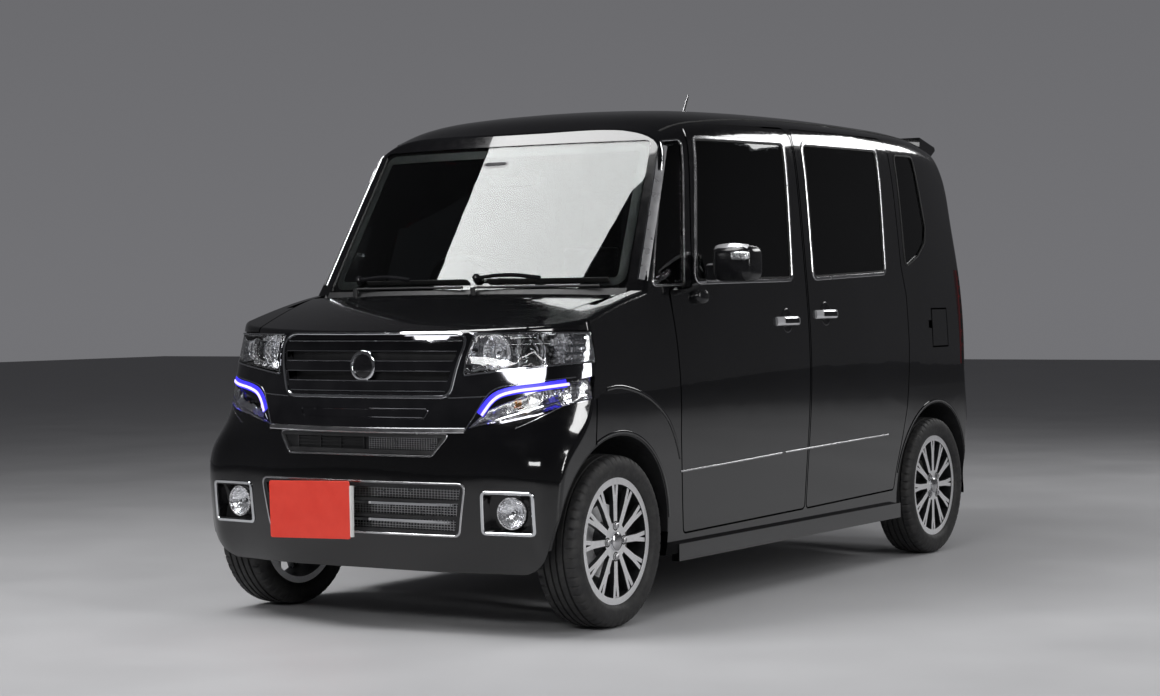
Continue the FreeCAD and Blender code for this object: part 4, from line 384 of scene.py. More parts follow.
class Mould:
    """Gathers the points and faces of one piece."""

    def __init__(self):
        self.points, self.faces = [], []

    def add(self, points, faces):
        base = len(self.points)
        self.points += [Vector(p) for p in points]
        self.faces += [tuple(base + i for i in face) for face in faces]
        return self

    def rings(self, rings, closed=False):
        """Skins a row of rings of as many points each."""
        count, size = len(rings), len(rings[0])
        points = [p for ring in rings for p in ring]
        faces = []
        for i in range(count if closed else count - 1):
            first, last = i * size, (i + 1) % count * size
            for k in range(size):
                n = (k + 1) % size
                faces.append((first + k, first + n, last + n, last + k))
        if not closed:
            faces += [tuple(range(size))[::-1], tuple(range((count - 1) * size, count * size))]
        return self.add(points, faces)

    def sweep(self, places, normals, section, closed=False):
        """Draws a section along a line: its points are (across, out)."""
        rings = []
        count = len(places)
        for i in range(count):
            back = places[i - 1] if closed or i else places[0]
            ahead = places[(i + 1) % count] if closed or i + 1 < count else places[-1]
            along = (ahead - back).normalized()
            across = normals[i].cross(along).normalized()
            rings.append([places[i] + across * a + normals[i] * o for a, o in section])
        return self.rings(rings, closed)

    def lay(self, points, cast, section, out=0.0, closed=False):
        """Draws a section along a line laid on a surface, where enough of the line meets it."""
        places, normals = laid(points, cast, out)
        if len(places) > 2:
            self.sweep(places, normals, section, closed)
        return self

    def lay_loop(self, corners, radius, cast, section, out=0.0, grow=0.0, step=STRAIGHT_STEP):
        """Draws a section along a closed outline with rounded corners, laid on a surface."""
        line = straight_line(rounded_outline(corners, radius, grow), step, closed=True)
        return self.lay(line, cast, section, out, closed=True)

    def lathe(self, profile, centre, axis, count=48, close=False):
        """Turns a profile of (along, radius) about an axis."""
        axis = Vector(axis).normalized()
        side = axis.orthogonal().normalized()
        up = axis.cross(side)
        rings = []
        for k in range(count):
            angle = 2 * math.pi * k / count
            out = side * math.cos(angle) + up * math.sin(angle)
            rings.append([Vector(centre) + axis * a + out * r for a, r in profile])
        size = len(profile)
        faces = []
        for k in range(count):
            n = (k + 1) % count
            for j in range(size if close else size - 1):
                m = (j + 1) % size
                faces.append((k * size + j, n * size + j, n * size + m, k * size + m))
        return self.add([p for ring in rings for p in ring], faces)

    def slab(self, outline, shift):
        """A plate: an outline of points pushed along a shift."""
        outline = [Vector(p) for p in outline]
        size = len(outline)
        faces = [tuple(range(size))[::-1], tuple(range(size, 2 * size))]
        faces += [(k, (k + 1) % size, size + (k + 1) % size, size + k) for k in range(size)]
        return self.add(outline + [p + Vector(shift) for p in outline], faces)

    def bar(self, low, top):
        """A straight block between two corners."""
        (x0, y0, z0), (x1, y1, z1) = low, top
        outline = [(x0, y0, z0), (x1, y0, z0), (x1, y1, z0), (x0, y1, z0)]
        return self.slab(outline, (0, 0, z1 - z0))

    def pillow(self, centre, half, power, count, turn=None):
        """A block with full, soft faces."""
        rings = []
        turn = turn or Matrix.Identity(3)

        def soft(value):
            return math.copysign(abs(value)**(2 / power), value)
        for i in range(1, count):
            tilt = -math.pi / 2 + math.pi * i / count
            ring = []
            for k in range(2 * count):
                angle = math.pi * k / count
                local = Vector((
                    half[0] * soft(math.cos(tilt)) * soft(math.cos(angle)),
                    half[1] * soft(math.cos(tilt)) * soft(math.sin(angle)), half[2] * soft(math.sin(tilt)),
                ))
                ring.append(Vector(centre) + turn @ local)
            rings.append(ring)
        return self.rings(rings)

    def mirror(self):
        """Adds the mirror image of all that is there."""
        return self.add([(-p.x, p.y, p.z) for p in self.points], [f[::-1] for f in self.faces])

    def move(self, place, turn):
        self.points = [turn @ p + Vector(place) for p in self.points]
        return self

    def piece(self, name, finish, body="body", sharp=35.0, bevel=0.0):
        """Makes the piece: a mesh with a material that rides a body."""
        mesh = bpy.data.meshes.new(name)
        mesh.from_pydata(self.points, [], self.faces)
        made = bmesh.new()
        made.from_mesh(mesh)
        bmesh.ops.recalc_face_normals(made, faces=made.faces)
        made.to_mesh(mesh)
        made.free()
        thing = as_piece(mesh, finish, body, sharp)
        if bevel:
            edge = thing.modifiers.new("edges", "BEVEL")
            edge.width, edge.segments, edge.limit_method = bevel, 2, "ANGLE"
        return thing


def as_piece(mesh, finish, body, sharp):
    """A piece of the mesh's name: shaded, dressed and on its body."""
    look, slot = finish
    mesh.shade_smooth()
    mesh.set_sharp_from_angle(angle=math.radians(sharp))
    thing = bpy.data.objects.new(mesh.name, mesh)
    bpy.context.scene.collection.objects.link(thing)
    dress(thing, look)
    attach(thing, body)
    return thing


def strip(width, height, sunk=0.0015):
    """The section of a low trim strip with eased edges."""
    half = width / 2
    return [
        (-half, -sunk), (-half, height * 0.5), (-half * 0.7, height), (half * 0.7, height),
        (half, height * 0.5), (half, -sunk),
    ]


def part_of(node, name, keep, finish):
    """A new piece on the fixed body, made of the faces of a CAD node that pass a test."""
    made = bmesh.new()
    made.from_mesh(frame["nodes"][node].data)
    bmesh.ops.remove_doubles(made, verts=made.verts, dist=0.00002)
    bmesh.ops.recalc_face_normals(made, faces=made.faces)
    lost = [f for f in made.faces if not keep(f.calc_center_median(), f.normal)]
    bmesh.ops.delete(made, geom=lost, context="FACES")
    mesh = bpy.data.meshes.new(name)
    made.to_mesh(mesh)
    made.free()
    return as_piece(mesh, finish, "body", 30.0)


# Looks that only the pieces use

def glow_look(name, colour, strength):
    """A light guide that glows, with a faint grain."""
    look = Look(name, Roughness=0.3, Emission_Strength=strength)
    grain = look.noise(140.0)
    bright = tuple(min(1.0, c * 1.25) for c in colour)
    look.link("Base Color", look.ramp(grain, (0.3, colour), (0.7, bright)))
    look.link("Emission Color", look.ramp(grain, (0.35, colour), (0.65, bright)))
    return look.material


def reflector_look(name, dark, light, facets=160.0, lit=0.35):
    """A mirrored bowl with small facets; its brighter facets glow a little by emission though no lamp is lit,
    as painted glints.
    """
    look = Look(name, Metallic=1.0, Emission_Strength=lit)
    facet = look.cells(facets)
    look.link("Base Color", look.ramp(facet, (0.0, light), (0.6, dark)))
    # Emission colour from the facets: painted glints and painted light on an unlit reflector.
    look.link("Emission Color", look.ramp(facet, (0.1, light), (0.6, (0.0, 0.0, 0.0))))
    look.link("Roughness", look.span(facet, 0.0, 0.8, 0.08, 0.22))
    look.bump(facet, 0.0012, 0.6)
    return look.material


# Finishes: a look and the slot that its pieces have

PILLAR_SILVER = metal_look(
    "pillar_silver", (0.30, 0.30, 0.31), (0.38, 0.38, 0.39), 0.30, scale=30.0, metallic=0.7,
), "chrome"
POLISHED = metal_look(
    "polished_trim", (0.66, 0.66, 0.68), (0.78, 0.78, 0.80), 0.16, scale=12.0, metallic=0.55,
), "chrome"
SILVER = metal_look("silver_trim", (0.50, 0.50, 0.51), (0.60, 0.60, 0.61), 0.22, scale=30.0), "chrome"
CHROME = LOOKS["chrome"], "chrome"
DARK_CHROME = LOOKS["dark_chrome"], "dark_chrome"
# Lamp bowls and housings glow a little by emission: painted glints and painted light, as no lamp is lit.
BOWL = reflector_look("lamp_bowl", (0.74, 0.74, 0.76), (0.95, 0.95, 0.97)), "chrome"
HOUSING = reflector_look("lamp_housing", (0.46, 0.46, 0.48), (0.72, 0.72, 0.74), 90.0, 0.12), "chrome"
BLUE_GLOW = glow_look("blue_guide", (0.030, 0.022, 0.62), 1.1), "lamp_lens"
PALE_GLOW = glow_look("pale_guide", (0.42, 0.36, 1.0), 1.6), "lamp_lens"
AMBER = glass_look("amber_glass", (0.95, 0.30, 0.02)), "lamp_lens"
GLOSS_BLACK = plastic_look(
    "gloss_black", (0.006, 0.006, 0.007), (0.010, 0.010, 0.011), 0.14, 300.0, 0.00002,
), "black_plastic"
GLOSS_PAINT = GLOSS_BLACK[0], "paint"
SEAL = plastic_look(
    "seal_rubber", (0.010, 0.010, 0.010), (0.018, 0.018, 0.018), 0.65, 1200.0, 0.0002,
), "black_plastic"
BLACK = LOOKS["black_plastic"], "black_plastic"
LENS = LOOKS["lamp_lens"], "lamp_lens"
RED_LENS = LOOKS["red_lens"], "red_lens"
PAINT = LOOKS["paint"], "paint"
STEEL = LOOKS["steel"], "steel"
CAST = LOOKS["cast_metal"], "cast_metal"
TYRE = LOOKS["tyre_rubber"], "tyre_rubber"
CLOTH = LOOKS["seat_cloth"], "seat_cloth"
CABIN = LOOKS["trim_plastic"], "trim_plastic"


# Headlamps and lower lamps

# Each bowl in a headlamp: its centre, radius and throat
LAMP_BOWLS = [
    ((0.452, -1.541, 0.896), 0.053, 0.010),
    ((0.549, -1.497, 0.900), 0.051, 0.030),
    ((0.628, -1.434, 0.906), 0.042, 0.008),
]
LAMP_BULB_RADII = (0.008, None, 0.007)
BOWL_RING_RADII = (0.030, 0.019)
DOME_PROFILE = [(0.014, 0.0), (0.012, 0.013), (0.006, 0.023), (-0.004, 0.029), (-0.010, 0.030), (-0.012, 0.0)]
HOLDER_PROFILE = [
    (-0.013, 0.0), (-0.013, 0.031), (-0.002, 0.034), (-0.002, 0.031), (-0.011, 0.0295), (-0.011, 0.0),
]
RIB_LOW, RIB_STEP, RIBS = 0.848, 0.024, 5
GUIDE_LINE = [(0.446, 0.700), (0.470, 0.738), (0.500, 0.763), (0.552, 0.777), (0.620, 0.786), (0.688, 0.797)]
FLUTE_FIRST, FLUTE_STEP, FLUTES = 0.520, 0.0115, 15
SIGNAL_BULB = (0.556, 0.734, -0.018)
SIGNAL_PROFILE = [(0.010, 0.0), (0.008, 0.006), (0.0, 0.010), (-0.016, 0.010), (-0.018, 0.0)]


def faces_out(centre, normal):
    """Whether a face of a lamp on either side is part of its lens."""
    side = math.copysign(1.0, centre.x)
    return normal.y < -0.30 or normal.x * side > 0.45


def lens_and_bowl(node, lens_name, bowl_name):
    lens = part_of(node, lens_name, faces_out, LENS)
    shell = lens.modifiers.new("thickness", "SOLIDIFY")
    shell.thickness, shell.offset = 0.003, -1.0
    bowl = part_of(node, bowl_name, lambda c, n: not faces_out(c, n), HOUSING)
    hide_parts(node)
    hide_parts(node)


def bowl_profile(radius, deep, throat, rim=0.004):
    """A reflector's section from its rim to its throat, as (along, radius)."""
    inner = [
        (-deep * (1 - (r / radius)**2), r)
        for r in (radius, radius * 0.9, radius * 0.75, radius * 0.55, throat)
    ]
    return [(-rim, radius + rim), (0.001, radius + rim), (0.001, radius)] + inner + [(-deep - rim, throat)]


def make_headlamps():
    lens_and_bowl("headlamps", "headlamp_lenses", "headlamp_housings")
    bowls, domes, rings, holders = Mould(), Mould(), Mould(), Mould()
    for centre, radius, throat in LAMP_BOWLS:
        bowls.lathe(bowl_profile(radius, radius * 0.75, throat), centre, AHEAD)
        low, top = radius + 0.001, radius + 0.005
        rings.lathe([(0.0, low), (0.004, low), (0.004, top), (0.0, top)], centre, AHEAD, close=True)
    for r in BOWL_RING_RADII:
        ridge = [(-0.012, r - 0.0015), (-0.006, r), (-0.012, r + 0.0015)]
        rings.lathe(ridge, LAMP_BOWLS[0][0], AHEAD, close=True)
    middle = LAMP_BOWLS[1][0]
    domes.lathe(DOME_PROFILE, middle, AHEAD)
    holders.lathe(HOLDER_PROFILE, middle, AHEAD)
    for (centre, _, _), r in zip(LAMP_BOWLS, LAMP_BULB_RADII):
        if r:
            profile = [(-0.004, 0.0), (-0.006, r * 0.7), (-0.014, r), (-0.036, r), (-0.036, 0.0)]
            domes.lathe(profile, centre, AHEAD, 24)
    for step in range(RIBS):
        line = [(x, RIB_LOW + RIB_STEP * step) for x in (0.672, 0.684, 0.696, 0.708, 0.718)]
        rings.lay(line, on_nose, strip(0.009, 0.004), -0.014)
    bowls.mirror().piece("headlamp_bowls", BOWL)
    domes.mirror().piece("headlamp_domes", LENS)
    rings.mirror().piece("headlamp_rings", CHROME)
    holders.mirror().piece("headlamp_holders", GLOSS_BLACK)


def make_lower_lamps():
    lens_and_bowl("signal_lamps", "lower_lamp_lenses", "lower_lamp_housings")
    core = smooth_line(GUIDE_LINE)
    guide = Mould().lay(core, on_nose, strip(0.009, 0.0035), 0.001)
    band = Mould().lay([(p.x - 0.006, p.y + 0.003) for p in core], on_nose, strip(0.026, 0.0016))
    flutes, bulb = Mould(), Mould()
    for step in range(FLUTES):
        along = FLUTE_STEP * step
        x = FLUTE_FIRST + along
        low, top = 0.712 + along * 0.36, 0.752 + along * 0.20
        line = [(x, low), (x, (low + top) / 2), (x, top)]
        flutes.lay(line, on_nose, [(-0.0052, -0.002), (0.0, 0.004), (0.0052, -0.002)], -0.020)
    place, _ = on_nose(*SIGNAL_BULB)
    bulb.lathe(SIGNAL_PROFILE, place, AHEAD, 24)
    guide.mirror().piece("lower_lamp_guides", PALE_GLOW)
    band.mirror().piece("lower_lamp_bands", BLUE_GLOW)
    flutes.mirror().piece("lower_lamp_flutes", BOWL)
    bulb.mirror().piece("lower_lamp_bulbs", AMBER)


make_headlamps()
make_lower_lamps()


# Bright lines round the lamps, the grille and the lower openings, as (x, z)

HEADLAMP_LINES = [
    [(0.379, 0.827), (0.470, 0.838), (0.560, 0.848), (0.650, 0.858), (0.716, 0.866)],
    [(0.388, 0.958), (0.480, 0.9585), (0.580, 0.959), (0.680, 0.959), (0.712, 0.958)],
    [(0.378, 0.830), (0.383, 0.890), (0.390, 0.956)],
]
WING_LINE = [(0.327, 0.7545), (0.452, 0.7605)]
LOWER_LAMP_TOP = [
    (0.398, 0.657), (0.425, 0.706), (0.452, 0.756), (0.482, 0.784), (0.540, 0.797), (0.620, 0.808),
    (0.700, 0.819),
]
LOWER_LAMP_BASE = [(0.410, 0.662), (0.480, 0.682), (0.560, 0.706), (0.640, 0.732), (0.722, 0.762)]
NOSE_LINE = [(-0.396, 0.652), (-0.2, 0.650), (0.0, 0.649), (0.2, 0.650), (0.396, 0.652)]
FENDER_LINE = [(0.560, 0.660), (0.620, 0.690), (0.680, 0.728), (0.712, 0.752)]
GRILLE_BASE = 0.760
GRILLE_CORNERS = [(-0.331, 0.757), (0.331, 0.757), (0.378, 0.960), (-0.378, 0.960)]
INSET_CORNERS = [(-0.246, 0.690), (0.246, 0.690), (0.262, 0.718), (-0.262, 0.718)]


def nose_trim(name, lines, section, finish, both_sides=True):
    made = Mould()
    for points in lines:
        made.lay(points, on_nose, section)
    if both_sides:
        made.mirror()
    made.piece(name, finish)


def make_nose_trims():
    nose_trim("lamp_lines", [straight_line(line) for line in HEADLAMP_LINES], strip(0.006, 0.003), CHROME)
    nose_trim(
        "lower_lamp_lines",
        [straight_line(WING_LINE), smooth_line(LOWER_LAMP_TOP), straight_line(LOWER_LAMP_BASE)],
        strip(0.004, 0.0022), CHROME,
    )
    nose_trim("nose_line", [straight_line(NOSE_LINE)], strip(0.017, 0.006), SILVER, both_sides=False)
    nose_trim("fender_lines", [smooth_line(FENDER_LINE)], strip(0.0025, 0.001), SILVER)
    Mould().lay_loop(GRILLE_CORNERS, 0.045, on_nose, strip(0.010, 0.004), 0.001).piece("grille_frame", CHROME)
    inset = Mould().lay_loop(INSET_CORNERS, 0.012, on_nose, strip(0.004, 0.0015), 0.0005)
    inset.piece("plate_inset", DARK_CHROME)


BAR_STEP, BAR_HALF, BARS = 0.064, 0.0165, 3
GAP_HEIGHTS = (0.824, 0.888)
BOSS_HIGH = 0.856
BOSS_PROFILE = [
    (-0.006, 0.0), (-0.006, 0.050), (0.004, 0.050), (0.006, 0.047), (0.006, 0.041), (0.002, 0.039),
    (0.002, 0.0),
]
BOSS_FACE_PROFILE = [(0.002, 0.0), (0.002, 0.0388), (0.0040, 0.034), (0.0056, 0.018), (0.006, 0.0)]


def bar_line(high, half_base, count):
    """A level line across the grille, which widens upward, in as many steps to each side."""
    half = half_base + (high - GRILLE_BASE) * 0.24
    return [(x * half / count, high) for x in range(-count, count + 1)]


def make_grille():
    """Thin bright edges on the grille's bars, matte black sheets across two of the gaps between them as
    painted shade, and a plain round boss in its middle.
    """
    edges, gaps = Mould(), Mould()
    for i in range(BARS):
        middle = GRILLE_BASE + BAR_STEP * (i + 0.5)
        for high in (middle - BAR_HALF, middle + BAR_HALF):
            edges.lay(bar_line(high, 0.312, 8), on_nose, strip(0.0035, 0.002), 0.0005)
    edges.piece("grille_bar_edges", CHROME)
    # Matte black sheets behind two of the grille's gaps: painted shade where the opening is dark.
    for high in GAP_HEIGHTS:
        level, _ = laid(bar_line(high, 0.310, 16), on_nose)
        places = [Vector((p.x, -1.628 + 0.30 * p.x**2, p.z)) for p in level]
        gaps.sweep(places, [Vector(AHEAD)] * len(places), strip(0.0300, 0.001))
    gaps.piece("grille_gap_shade", BLACK)
    place, _ = on_nose(0.0, BOSS_HIGH)
    centre = (0.0, place.y, BOSS_HIGH)
    Mould().lathe(BOSS_PROFILE, centre, AHEAD, 64).piece("grille_boss", CHROME)
    Mould().lathe(BOSS_FACE_PROFILE, centre, AHEAD, 64).piece("grille_boss_face", GLOSS_BLACK)


INTAKE_CORNERS = [(-0.385, 0.318), (0.385, 0.318), (0.414, 0.484), (-0.414, 0.484)]
SLOT_CORNERS = [(-0.290, 0.570), (0.290, 0.570), (0.348, 0.642), (-0.348, 0.642)]
INTAKE_BAR_HEIGHTS = (0.361, 0.415)
SLATS, SLAT_LOW, SLAT_STEP, SLAT_THICK = 5, 0.585, 0.0115, 0.004
POST_PLACES, POST_HALF = (-0.262, -0.170, -0.085, 0.010), 0.003
SLAT_FRONT, SLAT_BACK, POST_FRONT = -1.6685, -1.6600, -1.6700


def mesh_field(made, x_low, x_top, z_low, z_top, pitch, wire, back):
    """Crossing wires a little behind the nose's skin."""
    count = round((x_top - x_low) / pitch)
    for i in range(count + 1):
        x = x_low + (x_top - x_low) * i / count
        made.bar((x - wire / 2, back, z_low), (x + wire / 2, back + wire, z_top))
    count = round((z_top - z_low) / (pitch * 0.7))
    for i in range(count + 1):
        z = z_low + (z_top - z_low) * i / count
        made.bar((x_low, back - wire, z - wire / 2), (x_top, back, z + wire / 2))


def make_lower_openings():
    wires, slats, bars, frames = Mould(), Mould(), Mould(), Mould()
    mesh_field(wires, -0.385, 0.385, 0.330, 0.470, 0.012, 0.0022, -1.6660)
    mesh_field(wires, 0.030, 0.300, 0.585, 0.632, 0.010, 0.0018, -1.6665)
    for i in range(SLATS):
        z = SLAT_LOW + SLAT_STEP * i
        slats.bar((POST_PLACES[0], SLAT_FRONT, z), (POST_PLACES[-1], SLAT_BACK, z + SLAT_THICK))
    for x in POST_PLACES:
        slats.bar((x - POST_HALF, POST_FRONT, 0.580), (x + POST_HALF, SLAT_BACK, 0.636))
    for high in INTAKE_BAR_HEIGHTS:
        half = 0.372 + (high - 0.33) * 0.24
        places = [Vector((x * half / 10, POST_FRONT + 0.020 * (x / 10)**2, high)) for x in range(-10, 11)]
        bars.sweep(places, [Vector(AHEAD)] * len(places), strip(0.012, 0.010, 0.004))
    frames.lay_loop(INTAKE_CORNERS, 0.022, on_nose, strip(0.007, 0.0025), 0.0005)
    frames.lay_loop(SLOT_CORNERS, 0.014, on_nose, strip(0.005, 0.002), 0.0005)
    wires.piece("intake_mesh", STEEL)
    slats.piece("slot_slats", BLACK)
    bars.piece("intake_bars", CHROME)
    frames.piece("opening_frames", SILVER)


FOG_X, FOG_Z, FOG_HOLE = 0.5575, 0.3945, 0.0508
FOG_CORNERS = [(0.468, 0.330), (0.648, 0.330), (0.648, 0.460), (0.472, 0.460)]
FOG_LENS_PROFILE = [
    (0.007, 0.0), (0.006, 0.022), (0.003, 0.038), (-0.001, 0.046), (-0.003, 0.046), (0.000, 0.036),
    (0.003, 0.020), (0.004, 0.0),
]
FOG_BULB_PROFILE = [(-0.008, 0.0), (-0.010, 0.006), (-0.022, 0.007), (-0.022, 0.0)]


def beside_bulb(centre, normal):
    """Whether a face of a fog lamp's housing lies outside the lamp's own hole."""
    return math.hypot(abs(centre.x) - FOG_X, centre.z - FOG_Z) > FOG_HOLE


def make_fog_lamps():
    housing = part_of("fog_lamps", "fog_housings", beside_bulb, GLOSS_BLACK)
    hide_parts("fog_lamps")
    frames = Mould().lay_loop(FOG_CORNERS, 0.014, on_nose, strip(0.011, 0.004), 0.0005)
    place, _ = on_nose(FOG_X, FOG_Z)
    centre = (FOG_X, place.y + 0.006, FOG_Z)
    aim = (0.12, -1, 0)
    bowls = Mould().lathe(bowl_profile(0.047, 0.028, 0.008), centre, aim)
    lenses = Mould().lathe(FOG_LENS_PROFILE, centre, aim).lathe(FOG_BULB_PROFILE, centre, aim, 20)
    frames.mirror().piece("fog_frames", CHROME)
    bowls.mirror().piece("fog_bowls", BOWL)
    lenses.mirror().piece("fog_lenses", LENS)


make_nose_trims()
make_grille()
make_lower_openings()
make_fog_lamps()


# Sign on the nose, blank

SIGN_CORNERS = [(-0.166, -0.094), (0.166, -0.094), (0.168, 0.094), (-0.166, 0.094)]
SIGN_X, SIGN_Z, SIGN_TILT = -0.170, 0.388, -1.4


def make_front_sign():
    look = plastic_look("red_sign", (0.80, 0.055, 0.035), (0.86, 0.070, 0.045), 0.35, 400.0, 0.00003)
    low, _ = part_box("front_plate")
    turn = Matrix.Rotation(math.radians(SIGN_TILT), 3, "Y")
    outline = [(p.x, 0, p.y) for p in rounded_outline(SIGN_CORNERS, 0.008)]
    made = Mould().slab(outline, (0, -0.004, 0)).move((SIGN_X, low[1] + 0.003, SIGN_Z), turn)
    made.piece("front_sign", (look, "plate_white"), bevel=0.0008)


make_front_sign()


# Wheels: tyres, nuts, caps and calipers

# A tyre's wall as shares of its half width and its radius
WALL_SHARES = [
    (0.752, 0.712), (0.776, 0.738), (0.836, 0.746), (0.897, 0.765), (0.945, 0.790), (0.958, 0.806),
    (0.988, 0.849), (0.982, 0.872), (0.970, 0.893), (0.927, 0.932), (0.861, 0.964), (0.800, 0.980),
]
CUT_SHARE, CROWN_SHARES, CROWN_DROP, SHOULDER_SHARE = 0.92, (0.72, 0.64, -0.64, -0.72), 0.007, 0.55
GROOVES = (-0.46, -0.145, 0.145, 0.46)
GROOVE_HALF, GROOVE_DEEP, NOTCH_DEEP, PITCHES, STEPS = 0.0042, 0.0065, 0.0045, 54, 6


def tread_section(half, radius):
    """A tyre's section from bead to bead as (across, radius, whether a cross cut runs there)."""
    wall = [(a * half, r * radius, r > CUT_SHARE) for a, r in WALL_SHARES]
    crown = [a * half for a in CROWN_SHARES]
    for groove in GROOVES:
        middle = groove * half
        crown += [middle + GROOVE_HALF * share for share in (1.0, 0.7, -0.7, -1.0)]
    rows = []
    for across in sorted(crown, reverse=True):
        high = radius - (across / half)**2 * CROWN_DROP
        sunk = any(abs(across - g * half) < GROOVE_HALF * 0.8 for g in GROOVES)
        rows.append((across, high - (GROOVE_DEEP if sunk else 0.0), abs(across) > half * SHOULDER_SHARE))
    return wall + rows + [(-a, r, cut) for a, r, cut in reversed(wall)]


def radial(angle, radius):
    return Vector((0, radius * math.cos(angle), radius * math.sin(angle)))


def make_tyre(end, side):
    node = f"tyre_{end}_{side}"
    low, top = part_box(node)
    centre, half, radius = (low + top) / 2, (top.x - low.x) / 2, (top.z - low.z) / 2
    section = tread_section(half, radius)
    rings = []
    for k in range(PITCHES * STEPS):
        angle = 2 * math.pi * k / (PITCHES * STEPS)
        notch = NOTCH_DEEP if k % STEPS == 0 else 0.0
        rings.append([
            centre + Vector((across, 0, 0)) + radial(angle, r - notch * cut) for across, r, cut in section
        ])
    made = Mould().rings(rings, closed=True)
    tyre = made.piece(f"tyre_{end}_{side}_tread", TYRE, f"wheel_{end}_{side}", 28.0)
    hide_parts(node)


NUT_CIRCLE, NUT_RADIUS, CAP_RADIUS, VALVE_CIRCLE = 0.050, 0.0105, 0.029, 0.182
NUT_SUNK, CAP_SUNK, VALVE_SUNK = 0.006, 0.010, 0.024
NUT_PROFILE = [(0.0, NUT_RADIUS), (0.010, NUT_RADIUS), (0.013, NUT_RADIUS * 0.6), (0.014, 0.0)]
WELL_PROFILE = [(0.0, 0.0), (0.0038, 0.015), (0.0040, 0.0155), (0.0030, 0.016)]
CAP_PROFILE = [
    (0.0, CAP_RADIUS), (0.014, CAP_RADIUS), (0.018, CAP_RADIUS * 0.86), (0.0205, CAP_RADIUS * 0.4),
    (0.021, 0.0),
]
RING_LOW, RING_TOP, RING_OUT = CAP_RADIUS + 0.0005, CAP_RADIUS + 0.003, 0.013
RING_PROFILE = [(0.0, RING_LOW), (RING_OUT, RING_LOW), (RING_OUT, RING_TOP), (0.0, RING_TOP)]
VALVE_PROFILE = [(0.0, 0.004), (0.018, 0.004), (0.020, 0.003), (0.022, 0.003), (0.024, 0.0)]
# A caliper's section as (radius, distance from the car's middle)
CALIPER_SECTION = [
    (0.078, 0.630), (0.130, 0.630), (0.134, 0.640), (0.134, 0.672), (0.128, 0.680), (0.080, 0.680),
    (0.080, 0.668), (0.124, 0.668), (0.124, 0.642), (0.078, 0.642),
]
CALIPER_ANGLES = range(-28, 29, 7)


def make_wheel_details(end, side):
    """Nuts, flat black discs round them as painted shade in their recesses, a plain cap and a valve, and the
    front discs' calipers.
    """
    low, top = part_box(f"rim_{end}_{side}")
    centre = (low + top) / 2
    sign = 1 if side == "left" else -1
    out = Vector((sign, 0, 0))
    face = Vector((top.x if side == "left" else low.x, centre.y, centre.z))
    nuts, cap, ring, well_shade = Mould(), Mould(), Mould(), Mould()
    first = 0.0 if end == "front" else math.pi / 4
    for k in range(4):
        spot = face + radial(first + k * math.pi / 2, NUT_CIRCLE) - out * NUT_SUNK
        nuts.lathe(NUT_PROFILE, spot, out, 6)
        # A flat black disc at each nut: painted shade in the nut's recess.
        well_shade.lathe(WELL_PROFILE, spot, out, 24)
    cap_base = face - out * CAP_SUNK
    cap.lathe(CAP_PROFILE, cap_base, out, 40)
    ring.lathe(RING_PROFILE, cap_base, out, 40, close=True)
    nuts.lathe(VALVE_PROFILE, face - Vector((0, 0, VALVE_CIRCLE)) - out * VALVE_SUNK, out, 12)
    body = f"wheel_{end}_{side}"
    nuts.piece(f"nuts_{end}_{side}", STEEL, body)
    well_shade.piece(f"nut_well_shade_{end}_{side}", BLACK, body)
    cap.piece(f"cap_{end}_{side}", (SILVER[0], "alloy"), body)
    ring.piece(f"cap_ring_{end}_{side}", CHROME, body)
    if end == "front":
        rings = []
        for angle in map(math.radians, CALIPER_ANGLES):
            rings.append([
                Vector((sign * x, centre.y, centre.z)) + radial(angle, r) for r, x in CALIPER_SECTION
            ])
        Mould().rings(rings).piece(f"caliper_{side}", CAST, f"knuckle_{side}", bevel=0.0015)


for end in ("front", "rear"):
    for side in ("left", "right"):
        make_tyre(end, side)
        make_wheel_details(end, side)


# Lines round the side windows, and silver strips along the creases pressed in the sides as painted
# highlights, all as (y, z)

FRONT_WINDOW = [(-0.702, 1.124), (-0.578, 1.622), (0.016, 1.634), (-0.016, 1.135)]
SLIDE_WINDOW = [(0.164, 1.139), (0.166, 1.638), (0.803, 1.646), (0.791, 1.162)]
FRONT_QUARTER = [(-0.972, 1.110), (-0.742, 1.604), (-0.658, 1.613), (-0.783, 1.116)]
REAR_QUARTER = [
    (0.980, 1.634), (1.171, 1.636), (1.198, 1.494), (1.227, 1.349), (1.206, 1.286), (1.122, 1.230),
    (0.994, 1.186),
]
DOORS, ON_BODY = ("front_door_left", "front_door_right"), ("body", "body")
LINE_STRIP, SEAL_STRIP, QUARTER_STRIP = strip(0.013, 0.0035), strip(0.006, 0.0045), strip(0.007, 0.003)
CREASE_HIGHLIGHT_STRIP = strip(0.006, 0.0022, 0.003)
# Name, outline, radius of its corners, section, growth, finish and bodies
WINDOW_LINES = [
    ("front_window_line", FRONT_WINDOW, 0.030, LINE_STRIP, 0.006, SILVER, DOORS),
    ("front_window_seal", FRONT_WINDOW, 0.024, SEAL_STRIP, -0.004, SEAL, DOORS),
    ("slide_window_line", SLIDE_WINDOW, 0.030, LINE_STRIP, 0.006, SILVER, ON_BODY),
    ("slide_window_seal", SLIDE_WINDOW, 0.024, SEAL_STRIP, -0.004, SEAL, ON_BODY),
    ("front_quarter_line", FRONT_QUARTER, 0.016, QUARTER_STRIP, 0.003, SILVER, ON_BODY),
    ("rear_quarter_seal", REAR_QUARTER, 0.030, QUARTER_STRIP, 0.003, SEAL, ON_BODY),
]
